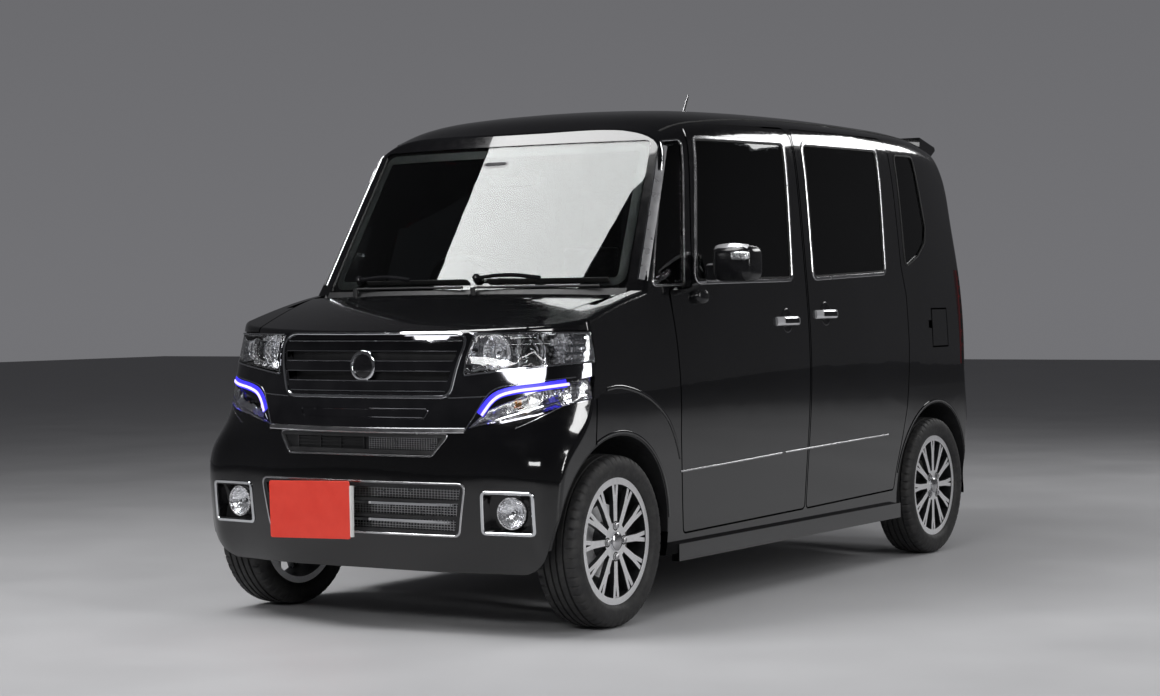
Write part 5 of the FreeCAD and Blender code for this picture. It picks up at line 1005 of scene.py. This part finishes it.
# Silver strips on the doors' pressed creases: painted highlights on the black paint.
CREASE_HIGHLIGHTS = [
    ("front_door_crease_highlight", [(-0.850, 0.479), (-0.480, 0.487), (-0.112, 0.497)], DOORS),
    ("slide_door_crease_highlight", [(-0.084, 0.498), (0.420, 0.508), (0.800, 0.515)], ON_BODY),
]


def both_sides(made, name, finish, bodies):
    """The piece on the left and its mirror image on the right."""
    for side, body in zip(("left", "right"), bodies):
        if side == "right":
            made.points = [Vector((-p.x, p.y, p.z)) for p in made.points]
        made.piece(f"{name}_{side}", finish, body)


def side_strip(points, section):
    return Mould().lay(smooth_line(points, LONG_STEP), on_side, section)


for name, corners, radius, section, grow, finish, bodies in WINDOW_LINES:
    loop = Mould().lay_loop(corners, radius, on_side, section, 0.0, grow, LONG_STEP)
    both_sides(loop, name, finish, bodies)
for name, line, bodies in CREASE_HIGHLIGHTS:
    both_sides(side_strip(line, CREASE_HIGHLIGHT_STRIP), name, SILVER, bodies)


# Door mirrors, with a turn lamp, a small lower mirror and a pod on the door

MIRROR_HALF_WIDE = 0.078
# Points over the mirror's shell as shares of its half size
CROWN_LINE = [
    (-1.00, -0.10, 0.02), (-0.97, -0.35, 0.50), (-0.80, -0.62, 0.84), (-0.30, -0.72, 0.94),
    (0.30, -0.72, 0.94), (0.80, -0.62, 0.86),
]
TURN_LAMP, LOW_MIRROR = (0.52, -0.90, 0.42), (-0.98, -0.50, -0.48)


def upright_plate(half_x, half_z, radius, middle, thick):
    """A plate with rounded corners that faces along Y."""
    x, y, z = middle
    corners = [(-half_x, -half_z), (half_x, -half_z), (half_x, half_z), (-half_x, half_z)]
    outline = [(x + p.x, y, z + p.y) for p in rounded_outline(corners, radius)]
    return Mould().slab(outline, (0, thick, 0))


def make_mirrors():
    low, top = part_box("mirror_left")
    centre = Vector((top.x - MIRROR_HALF_WIDE, (low.y + top.y) / 2, (low.z + top.z) / 2))
    half = Vector((MIRROR_HALF_WIDE, (top.y - low.y) / 2, (top.z - low.z) / 2))

    def at(x, y, z):
        return centre + Vector((half.x * x, half.y * y, half.z * z))
    crown_line = smooth_line(CROWN_LINE, 0.2)
    places = [at(*p) for p in crown_line]
    normals = [Vector((p.x * 0.4, -0.8, max(0.1, p.z) * 0.7)).normalized() for p in crown_line]
    lamp_at, low_at = at(*TURN_LAMP), at(*LOW_MIRROR)
    back = (centre.x, centre.y + half.y - 0.003, centre.z)
    foot_at = (low.x + 0.026, centre.y, centre.z - half.z * 0.62)
    pod_at = on_side(-0.700, 1.070)[0] + Vector((0.008, 0, 0))
    for name, finish, made in (
        ("mirror_shell", GLOSS_PAINT, Mould().pillow(centre, half, 4.6, 22)),
        ("mirror_crown", POLISHED, Mould().sweep(places, normals, strip(0.022, 0.005, 0.012))),
        ("mirror_lamp", LENS, Mould().pillow(lamp_at, (half.x * 0.44, 0.014, half.z * 0.24), 5.0, 14)),
        ("mirror_lamp_back", BOWL, Mould().pillow(lamp_at, (half.x * 0.41, 0.011, half.z * 0.20), 5.0, 12)),
        ("mirror_glass", CHROME, upright_plate(half.x * 0.80, half.z * 0.78, 0.022, back, 0.004)),
        ("mirror_foot", BLACK, Mould().pillow(foot_at, (0.036, half.y * 0.62, 0.017), 3.2, 14)),
        ("low_mirror_housing", POLISHED, Mould().pillow(low_at, (0.030, 0.016, 0.032), 4.0, 14)),
        (
            "low_mirror_glass", (GLOSS_BLACK[0], "chrome"),
            upright_plate(0.024, 0.026, 0.012, low_at - Vector((0, 0.0135, 0)), -0.004),
        ),
        ("door_pod", GLOSS_PAINT, Mould().pillow(pod_at, (0.022, 0.040, 0.024), 2.6, 16)),
    ):
        both_sides(made, name, finish, DOORS)
    for side in ("left", "right"):
        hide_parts(f"mirror_{side}")


make_mirrors()


# Door handles: a bowed grip with an inlay over a round recess

HANDLE_HALF, HANDLE_OUT, HANDLE_GAP, HANDLE_STEPS = 0.088, 0.014, 0.003, 16
GRIP_WIDE, GRIP_THICK, INLAY_SHARE, INLAY_OUT = 0.016, 0.007, 0.62, 0.0062
RECESS_PROFILE = [(0.0, 0.0), (0.0002, 0.032), (0.0016, 0.038), (0.0014, 0.043), (0.0, 0.045)]


def handle_line(middle, high, half, count):
    return [(middle - half + 2 * half * k / count, high) for k in range(count + 1)]


def make_handles():
    turns = [2 * math.pi * k / HANDLE_STEPS for k in range(HANDLE_STEPS)]
    section = [(GRIP_WIDE * math.cos(a), GRIP_THICK * math.sin(a)) for a in turns]
    ends = [min(k, HANDLE_STEPS - k) / HANDLE_STEPS for k in range(HANDLE_STEPS + 1)]
    rise = [HANDLE_GAP + HANDLE_OUT * math.sin(math.pi * min(1.0, 4 * e) / 2) for e in ends]
    for name, middle, high, bodies in (
        ("front_handle", -0.075, 0.978, DOORS), ("slide_handle", 0.240, 1.000, ON_BODY),
    ):
        places, normals = laid(handle_line(middle, high, HANDLE_HALF, HANDLE_STEPS), on_side)
        grip = Mould().sweep([p + n * r for p, n, r in zip(places, normals, rise)], normals, section)
        inlay_line = handle_line(middle, high, HANDLE_HALF * INLAY_SHARE, 10)
        inlay = Mould().lay(inlay_line, on_side, strip(0.017, 0.0012), HANDLE_GAP + HANDLE_OUT + INLAY_OUT)
        place, normal = on_side(middle, high + 0.002, 0.0004)
        both_sides(grip, f"{name}_grip", POLISHED, bodies)
        both_sides(inlay, f"{name}_inlay", GLOSS_BLACK, bodies)
        both_sides(Mould().lathe(RECESS_PROFILE, place, normal, 40), f"{name}_recess", GLOSS_PAINT, bodies)
    for side in ("left", "right"):
        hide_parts(f"front_handle_{side}")
    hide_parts("slide_handles")


make_handles()


# Seats: the CAD solids puffed up as upholstery by a cloth simulation

SEAT_VOXEL, SEAT_SHRINK, SEAT_CAP, SEAT_PRESSURE, SEAT_FRAMES = 0.014, 0.008, 0.016, 4.0, 20
PIPING_RADIUS, PIPING_STEPS = 0.0032, 24
SEAT_MIDDLE, PIPING_SHIFT = 0.315, 0.17


def baked(thing):
    """The mesh of a thing with its modifiers applied."""
    ready = thing.evaluated_get(bpy.context.evaluated_depsgraph_get())
    return bpy.data.meshes.new_from_object(ready)


def take_bake(thing):
    """Applies all modifiers of a thing to its mesh."""
    mesh = baked(thing)
    thing.modifiers.clear()
    thing.data = mesh


def puff(thing, cap):
    """Inflates a closed mesh as cloth, and lets no point move further than the cap."""
    scene = bpy.context.scene
    rest = [v.co.copy() for v in thing.data.vertices]
    cloth = thing.modifiers.new("puff", "CLOTH")
    cloth.settings.use_pressure = True
    cloth.settings.uniform_pressure_force = SEAT_PRESSURE
    cloth.settings.quality = 4
    cloth.settings.effector_weights.gravity = 0.0
    for step in range(1, SEAT_FRAMES + 1):
        scene.frame_set(step)
    moved = [v.co.copy() for v in baked(thing).vertices]
    thing.modifiers.clear()
    scene.frame_set(1)
    for vertex, start, end in zip(thing.data.vertices, rest, moved):
        shift = end - start
        if shift.length > cap:
            shift *= cap / shift.length
        vertex.co = start + shift


def upholstered(name, node, keep):
    """A soft copy of the part of a CAD node that passes a test."""
    soft = part_of(node, name, keep, CLOTH)
    inward = soft.modifiers.new("inward", "DISPLACE")
    inward.strength, inward.mid_level = -SEAT_SHRINK, 0.0
    remesh = soft.modifiers.new("remesh", "REMESH")
    remesh.mode, remesh.voxel_size = "VOXEL", SEAT_VOXEL
    take_bake(soft)
    puff(soft, SEAT_CAP)
    smooth = soft.modifiers.new("even", "CORRECTIVE_SMOOTH")
    smooth.iterations, smooth.use_only_smooth = 6, True
    fine = soft.modifiers.new("fine", "SUBSURF")
    fine.levels = fine.render_levels = 1
    take_bake(soft)
    soft.data.shade_smooth()
    dress(soft, LOOKS["seat_cloth"])
    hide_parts(node)
    return soft


def piping(soft, lines, name):
    """Cords of piping laid on a soft piece, each line a list of (start, direction) to cast from."""
    tree = tree_over(soft.data)
    turns = [math.pi * k / 4 for k in range(8)]
    section = [(PIPING_RADIUS * math.cos(a), PIPING_RADIUS * math.sin(a)) for a in turns]
    cords = Mould()
    for line in lines:
        hits = [tree.ray_cast(Vector(start), Vector(direction)) for start, direction in line]
        hits = [(place + normal * 0.001, normal) for place, normal, _, _ in hits if place is not None]
        if len(hits) > 2:
            cords.sweep([place for place, _ in hits], [normal for _, normal in hits], section)
    cords.piece(name, (BLACK[0], "seat_cloth"))


def seat_lines(x_places, y_front, y_back, z_low, z_top):
    """Lines over a seat's cushion and up its backrest, from straight above and from the front."""
    lines = []
    shares = [k / PIPING_STEPS for k in range(1, PIPING_STEPS - 2)]
    for x in x_places:
        lines.append([((x, y_front + (y_back - y_front) * f, z_low + 0.45), (0, 0, -1)) for f in shares])
        lines.append([((x, y_front - 0.30, z_low + 0.16 + (z_top - z_low) * f), (0, 1, 0)) for f in shares])
    return lines


def make_seats():
    for side, sign in (("left", 1), ("right", -1)):
        soft = upholstered(f"front_seat_{side}", "front_seats", lambda c, n: c.x * sign > 0)
        x_places = [sign * (SEAT_MIDDLE + shift) for shift in (-PIPING_SHIFT, PIPING_SHIFT)]
        piping(soft, seat_lines(x_places, -0.40, 0.06, 0.55, 1.10), f"front_seat_piping_{side}")
    soft = upholstered("rear_seat_pad", "rear_seat", lambda c, n: True)
    piping(soft, seat_lines((-0.34, 0.0, 0.34), 0.54, 1.02, 0.55, 1.03), "rear_seat_piping")


make_seats()


# Dashboard: display, vents, dial hood and the steering wheel's pad

SCREEN_HALF, SCREEN_LOW, SCREEN_TOP, SCREEN_THICK = 0.100, 0.885, 0.985, 0.0015


def make_cabin_details():
    _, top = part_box("dashboard")
    face = top[1]
    screens, frames, hood = Mould(), Mould(), Mould()
    frames.pillow((0.0, face - 0.020, 0.935), (0.120, 0.022, 0.070), 6.0, 14)
    front = face + SCREEN_THICK
    screens.bar((-SCREEN_HALF, front, SCREEN_LOW), (SCREEN_HALF, front + SCREEN_THICK, SCREEN_TOP))
    for x in (-0.55, -0.17, 0.17, 0.55):
        frames.pillow((x, face - 0.014, 0.950), (0.048, 0.018, 0.034), 5.0, 12)
    hood.pillow((-0.345, -0.700, 1.040), (0.150, 0.085, 0.038), 3.0, 18)
    frames.piece("dash_frames", (BLACK[0], "trim_plastic"))
    screens.piece("dash_screen", (GLOSS_BLACK[0], "trim_plastic"))
    hood.piece("dial_hood", CABIN)
    low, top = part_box("steering_wheel")
    centre = (Vector(low) + Vector(top)) / 2
    turn = Matrix.Rotation(math.radians(28), 3, "X")
    pad = Mould().pillow(centre + Vector((0, 0.012, 0)), (0.075, 0.024, 0.060), 3.5, 16, turn)
    pad.piece("wheel_pad", CABIN, "steering_wheel")


make_cabin_details()


# Pillar trims and antenna

PILLAR_LOW, PILLAR_TOP = Vector((0.672, -1.008, 1.112)), Vector((0.618, -0.752, 1.606))
PILLAR_ACROSS, PILLAR_AWAY = Vector((0.6, 0.8, 0.0)), Vector((0.4, -0.4, 0.0))
PILLAR_SHARES = (0.03, 0.27, 0.5, 0.73, 0.97)
on_pillar = caster(
    SIDE_TREE, lambda share, far: PILLAR_LOW.lerp(PILLAR_TOP, share) + PILLAR_ACROSS * far + PILLAR_AWAY,
    (-1, 1, 0),
)


def pillar_strip(shift, section):
    """A strip up the windscreen pillar, shifted across it towards the side window."""
    hits = [on_pillar(share, shift) for share in PILLAR_SHARES]
    places = smooth_line([place for place, _ in hits], LONG_STEP)
    normal = sum((normal for _, normal in hits), Vector()).normalized()
    return Mould().sweep(places, [normal] * len(places), section)


def make_pillar_trims():
    both_sides(pillar_strip(0.0, strip(0.030, 0.0016)), "pillar_band", PILLAR_SILVER, ON_BODY)
    both_sides(pillar_strip(-0.017, strip(0.004, 0.0030)), "pillar_line", CHROME, ON_BODY)
    low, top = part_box("antenna")
    foot = Vector((low[0] + 0.012, low[1] + 0.012, low[2]))
    tip = Vector((low[0] + 0.012, top[1], top[2] + 0.006))
    reach = (tip - foot).length
    mast = Mould().lathe([(0.0, 0.0042), (reach, 0.0030), (reach + 0.002, 0.0)], foot, tip - foot, 16)
    base = foot - Vector((0, 0, 0.004))
    mast.lathe([(0.0, 0.014), (0.010, 0.012), (0.018, 0.006), (0.019, 0.0)], base, ABOVE, 24)
    mast.piece("antenna_mast", (SILVER[0], "black_plastic"))


make_pillar_trims()


# Windscreen: its black border, the sensor box, the inside mirror, and the wipers

on_screen = caster(search_tree("windscreen"), lambda x, z: (x, -FAR_OUT, z), BEHIND)
WIPER_HIGH = 1.118
# Where each wiper starts, bends and ends
WIPERS = [(0.080, 0.320, 0.560), (-0.460, -0.215, 0.030)]
SCREEN_CORNERS = [(-0.612, 1.116), (0.612, 1.116), (0.556, 1.598), (-0.556, 1.598)]
BLADE_SECTION = [(-0.006, -0.009), (-0.004, 0.004), (0.0, 0.009), (0.004, 0.004), (0.006, -0.009)]
ARM_SECTION = [(-0.008, -0.003), (-0.006, 0.004), (0.006, 0.004), (0.008, -0.003)]
WIPER_FOOT_PROFILE = [(-0.012, 0.0), (-0.012, 0.014), (0.008, 0.013), (0.014, 0.008), (0.015, 0.0)]
ARM_OUT, ARM_RISE, ARM_STEPS, BLADE_STEPS = Vector((0, -0.55, 0.83)), 0.010, 8, 14


def make_screen_details():
    border = Mould().lay_loop(
        SCREEN_CORNERS, 0.030, on_screen, strip(0.032, 0.001, 0.001), -0.0075, -0.010, LONG_STEP,
    )
    border.piece("screen_border", BLACK)
    inside = Mould().pillow((-0.020, -0.815, 1.530), (0.062, 0.040, 0.026), 5.0, 12)
    inside.pillow((-0.020, -0.730, 1.500), (0.110, 0.012, 0.032), 3.6, 14)
    inside.bar((-0.026, -0.800, 1.512), (-0.014, -0.735, 1.524))
    inside.piece("screen_sensor_and_mirror", CABIN)
    arms, blades = Mould(), Mould()
    for foot_x, knee_x, tip_x in WIPERS:
        near_x = foot_x + 0.035
        xs = [near_x + (tip_x - near_x) * k / BLADE_STEPS for k in range(BLADE_STEPS + 1)]
        hits = [on_screen(x, WIPER_HIGH + 0.010, 0.010) for x in xs]
        blades.sweep([place for place, _ in hits], [normal for _, normal in hits], BLADE_SECTION)
        foot, _ = on_screen(foot_x - 0.012, WIPER_HIGH + 0.018, 0.012)
        knee, _ = on_screen(knee_x, WIPER_HIGH + 0.012, 0.020)
        line = []
        for k in range(ARM_STEPS + 1):
            share = k / ARM_STEPS
            line.append(foot.lerp(knee, share) + Vector((0, 0, ARM_RISE * math.sin(math.pi * share))))
        arms.sweep(line, [ARM_OUT] * len(line), ARM_SECTION)
        arms.lathe(WIPER_FOOT_PROFILE, foot, ARM_OUT, 20)
    blades.piece("wiper_blades", SEAL)
    arms.piece("wiper_arms", GLOSS_BLACK)


make_screen_details()


# Wheel arch lips, the front arch's flare line, and the roof's side seams

AXLE_HIGH, LIP_RADIUS, ARCH_STEPS = 0.281, 0.354, 40
# Each arch's middle and the angles where its lip starts and ends
ARCHES = {"front": (-1.260, 8, 148), "rear": (1.260, 12, 168)}
FLARE_LINE = [
    (-1.340, 0.776), (-1.248, 0.780), (-1.098, 0.746), (-0.969, 0.676), (-0.895, 0.592), (-0.846, 0.500),
]
SEAM_X, SEAM_NARROWS, SEAM_BEND, SEAM_REACH = 0.588, 0.030, -0.45, 0.30


def make_arch_lips():
    for end, (middle, first, last) in ARCHES.items():
        turns = [math.radians(first + (last - first) * k / ARCH_STEPS) for k in range(ARCH_STEPS + 1)]
        line = [(middle + LIP_RADIUS * math.cos(a), AXLE_HIGH + LIP_RADIUS * math.sin(a)) for a in turns]
        lip = Mould().lay(line, on_side, strip(0.010, 0.0020, 0.002), 0.0004)
        both_sides(lip, f"{end}_arch_lip", PAINT, ON_BODY)
    both_sides(side_strip(FLARE_LINE, strip(0.012, 0.0024, 0.003)), "front_flare", PAINT, ON_BODY)
    ys = [-0.70 + 0.06 * k for k in range(36)]
    line = [(SEAM_X - SEAM_NARROWS * max(0.0, SEAM_BEND - y) / SEAM_REACH, y) for y in ys]
    Mould().lay(line, on_top, strip(0.009, 0.0016, 0.002), 0.0002).mirror().piece("roof_seams", SEAL)


make_arch_lips()


# Rear: lamp details, wiper, handle, stop lamp, reflectors and the window's border

REAR_WINDOW = [(-0.520, 1.100), (0.520, 1.100), (0.476, 1.596), (-0.476, 1.596)]
REAR_BLADE_SECTION = [(-0.006, -0.010), (-0.004, 0.004), (0.004, 0.004), (0.006, -0.010)]
REAR_ARM_SECTION = [(-0.008, -0.004), (-0.006, 0.004), (0.006, 0.004), (0.008, -0.004)]
REAR_WIPER_X = 0.02
REAR_HUB_PROFILE = [(0.0, 0.020), (0.014, 0.019), (0.022, 0.012), (0.023, 0.0)]
# Name, half length, height, section and finish
REAR_STRIPS = [
    ("rear_garnish", 0.300, 0.905, strip(0.040, 0.010), CHROME),
    ("rear_handle", 0.120, 0.872, strip(0.018, 0.004), BLACK),
    ("stop_lamp", 0.120, 1.640, strip(0.020, 0.006), RED_LENS),
]
RIB_PLACES = (0.618, 0.636, 0.654, 0.672, 0.690)
RED_RIB_HEIGHTS, PALE_RIB_HEIGHTS = (1.135, 1.095, 1.055, 1.015, 0.975), (0.900, 0.845)
SCREW_PROFILE = [(0.0, 0.008), (0.003, 0.008), (0.004, 0.005), (0.004, 0.0)]


def lamp_ribs(heights, wide):
    made = Mould()
    for high in heights:
        made.lay([(x, high) for x in RIB_PLACES], on_tail, strip(wide, 0.0024), 0.0002)
    return made.mirror()


def make_rear():
    seal = Mould().lay_loop(REAR_WINDOW, 0.040, on_tail, strip(0.014, 0.0022), 0.0, 0.002, LONG_STEP)
    seal.piece("rear_window_seal", SEAL, "tailgate")
    blade_line = [(REAR_WIPER_X - 0.028 * k, 1.128 + 0.0015 * k) for k in range(15)]
    arm_line = [(REAR_WIPER_X - 0.020 * k, 1.090 + 0.005 * k) for k in range(10)]
    wiper = Mould().lay(blade_line, on_tail, REAR_BLADE_SECTION, 0.012)
    wiper.lay(arm_line, on_tail, REAR_ARM_SECTION, 0.018)
    place, normal = on_tail(REAR_WIPER_X, 1.088)
    wiper.lathe(REAR_HUB_PROFILE, place, normal, 28)
    wiper.piece("rear_wiper", BLACK, "tailgate")
    for name, half, high, section, finish in REAR_STRIPS:
        line = straight_line([(-half, high), (half, high)], LONG_STEP)
        Mould().lay(line, on_tail, section).piece(name, finish, "tailgate")
    reflectors = Mould()
    for sign in (-1, 1):
        reflectors.lay([(sign * (0.44 + 0.012 * k), 0.430) for k in range(12)], on_tail, strip(0.026, 0.005))
    reflectors.piece("rear_reflectors", RED_LENS)
    lamp_ribs(RED_RIB_HEIGHTS, 0.020).piece("tail_lamp_ribs", RED_LENS)
    lamp_ribs(PALE_RIB_HEIGHTS, 0.034).piece("tail_lamp_pale", LENS)
    screws = Mould()
    for x in (-0.105, 0.105):
        place, _ = on_tail(x, 0.775)
        screws.lathe(SCREW_PROFILE, place + Vector((0, 0.002, 0)), BEHIND, 16)
    screws.piece("rear_plate_screws", STEEL, "tailgate")


make_rear()


# Camera, at the photograph's place and angle

PHOTO_WIDE, PHOTO_MIDDLE, FOCAL_PIXELS, SENSOR_WIDE = 1160, 577.23, 2312.09, 36.0
CAMERA_PLACE, CAMERA_ANGLES = (4.6277, -7.6198, 1.0521), (32.508, 1.110, -0.638)


def photo_camera():
    data = bpy.data.cameras.new("camera")
    data.sensor_width = SENSOR_WIDE
    data.lens = SENSOR_WIDE * FOCAL_PIXELS / PHOTO_WIDE
    data.shift_x = (PHOTO_WIDE / 2 - PHOTO_MIDDLE) / PHOTO_WIDE
    azimuth, elevation, roll = (math.radians(a) for a in CAMERA_ANGLES)
    level = math.cos(elevation)
    ahead = Vector((-math.sin(azimuth) * level, math.cos(azimuth) * level, -math.sin(elevation)))
    side = ahead.cross(Vector(ABOVE)).normalized()
    top = side.cross(ahead)
    right = math.cos(roll) * side + math.sin(roll) * top
    above = -math.sin(roll) * side + math.cos(roll) * top
    camera = bpy.data.objects.new("camera", data)
    turn = Matrix((right, above, -ahead)).transposed().to_4x4()
    camera.matrix_world = Matrix.Translation(CAMERA_PLACE) @ turn
    data.clip_start, data.clip_end = 0.1, 200.0
    bpy.context.scene.collection.objects.link(camera)
    bpy.context.scene.camera = camera


photo_camera()


# Floor, lamps and world

WORLD_LOW, WORLD_HIGH = (0.17, 0.17, 0.18, 1.0), (0.07, 0.07, 0.075, 1.0)
GLOSSY_DIM = -0.55


def floor_look():
    look = Look("floor_grey")
    patches = look.noise(1.4, 4.0)
    look.link("Base Color", look.ramp(patches, (0.3, (0.42, 0.42, 0.43)), (0.7, (0.46, 0.46, 0.47))))
    look.link("Roughness", look.span(patches, 0.3, 0.7, 0.50, 0.62))
    return look.material


def make_stage():
    bpy.ops.mesh.primitive_plane_add(size=60.0, location=(0, 0, 0))
    floor = bpy.context.object
    floor.name = "floor"
    dress(floor, floor_look())


def lamp(name, place, aim, size, watts, mirrored=True):
    data = bpy.data.lights.new(name, "AREA")
    data.shape = "RECTANGLE"
    data.size, data.size_y = size
    data.energy = watts
    made = bpy.data.objects.new(name, data)
    made.visible_glossy = mirrored
    made.location = place
    made.rotation_euler = (Vector(aim) - Vector(place)).to_track_quat("-Z", "Y").to_euler()
    bpy.context.scene.collection.objects.link(made)


def make_world():
    """Brighter low down than above, and dimmer where it is mirrored."""
    world = bpy.data.worlds.new("studio")
    bpy.context.scene.world = world
    world.use_nodes = True
    nodes, links = world.node_tree.nodes, world.node_tree.links
    back = nodes["Background"]
    place = nodes.new("ShaderNodeTexCoord")
    split = nodes.new("ShaderNodeSeparateXYZ")
    ramp = nodes.new("ShaderNodeValToRGB")
    links.new(place.outputs["Generated"], split.inputs[0])
    links.new(split.outputs[2], ramp.inputs[0])
    links.new(ramp.outputs[0], back.inputs[0])
    for element, position, colour in zip(ramp.color_ramp.elements, (0.0, 0.6), (WORLD_LOW, WORLD_HIGH)):
        element.position, element.color = position, colour
    paths = nodes.new("ShaderNodeLightPath")
    dim = nodes.new("ShaderNodeMath")
    dim.operation = "MULTIPLY_ADD"
    links.new(paths.outputs["Is Glossy Ray"], dim.inputs[0])
    dim.inputs[1].default_value, dim.inputs[2].default_value = GLOSSY_DIM, 1.0
    links.new(dim.outputs[0], back.inputs[1])


make_stage()
lamp("key", (-1.7, -2.8, 5.2), (0.0, -0.9, 1.2), (2.4, 3.4), 250)
lamp("overhead", (0.9, 0.4, 5.8), (0.0, 0.0, 0.0), (3.6, 6.8), 100, mirrored=False)
lamp("side", (6.8, -2.0, 3.4), (0.0, 0.2, 0.8), (1.0, 4.4), 190)
lamp("front", (1.6, -7.4, 3.6), (0.0, -1.6, 0.6), (3.4, 0.9), 120)
lamp("back", (2.8, 6.6, 4.2), (0.0, 1.4, 0.9), (3.4, 1.6), 120)
make_world()
bpy.context.scene.view_settings.view_transform = "Standard"
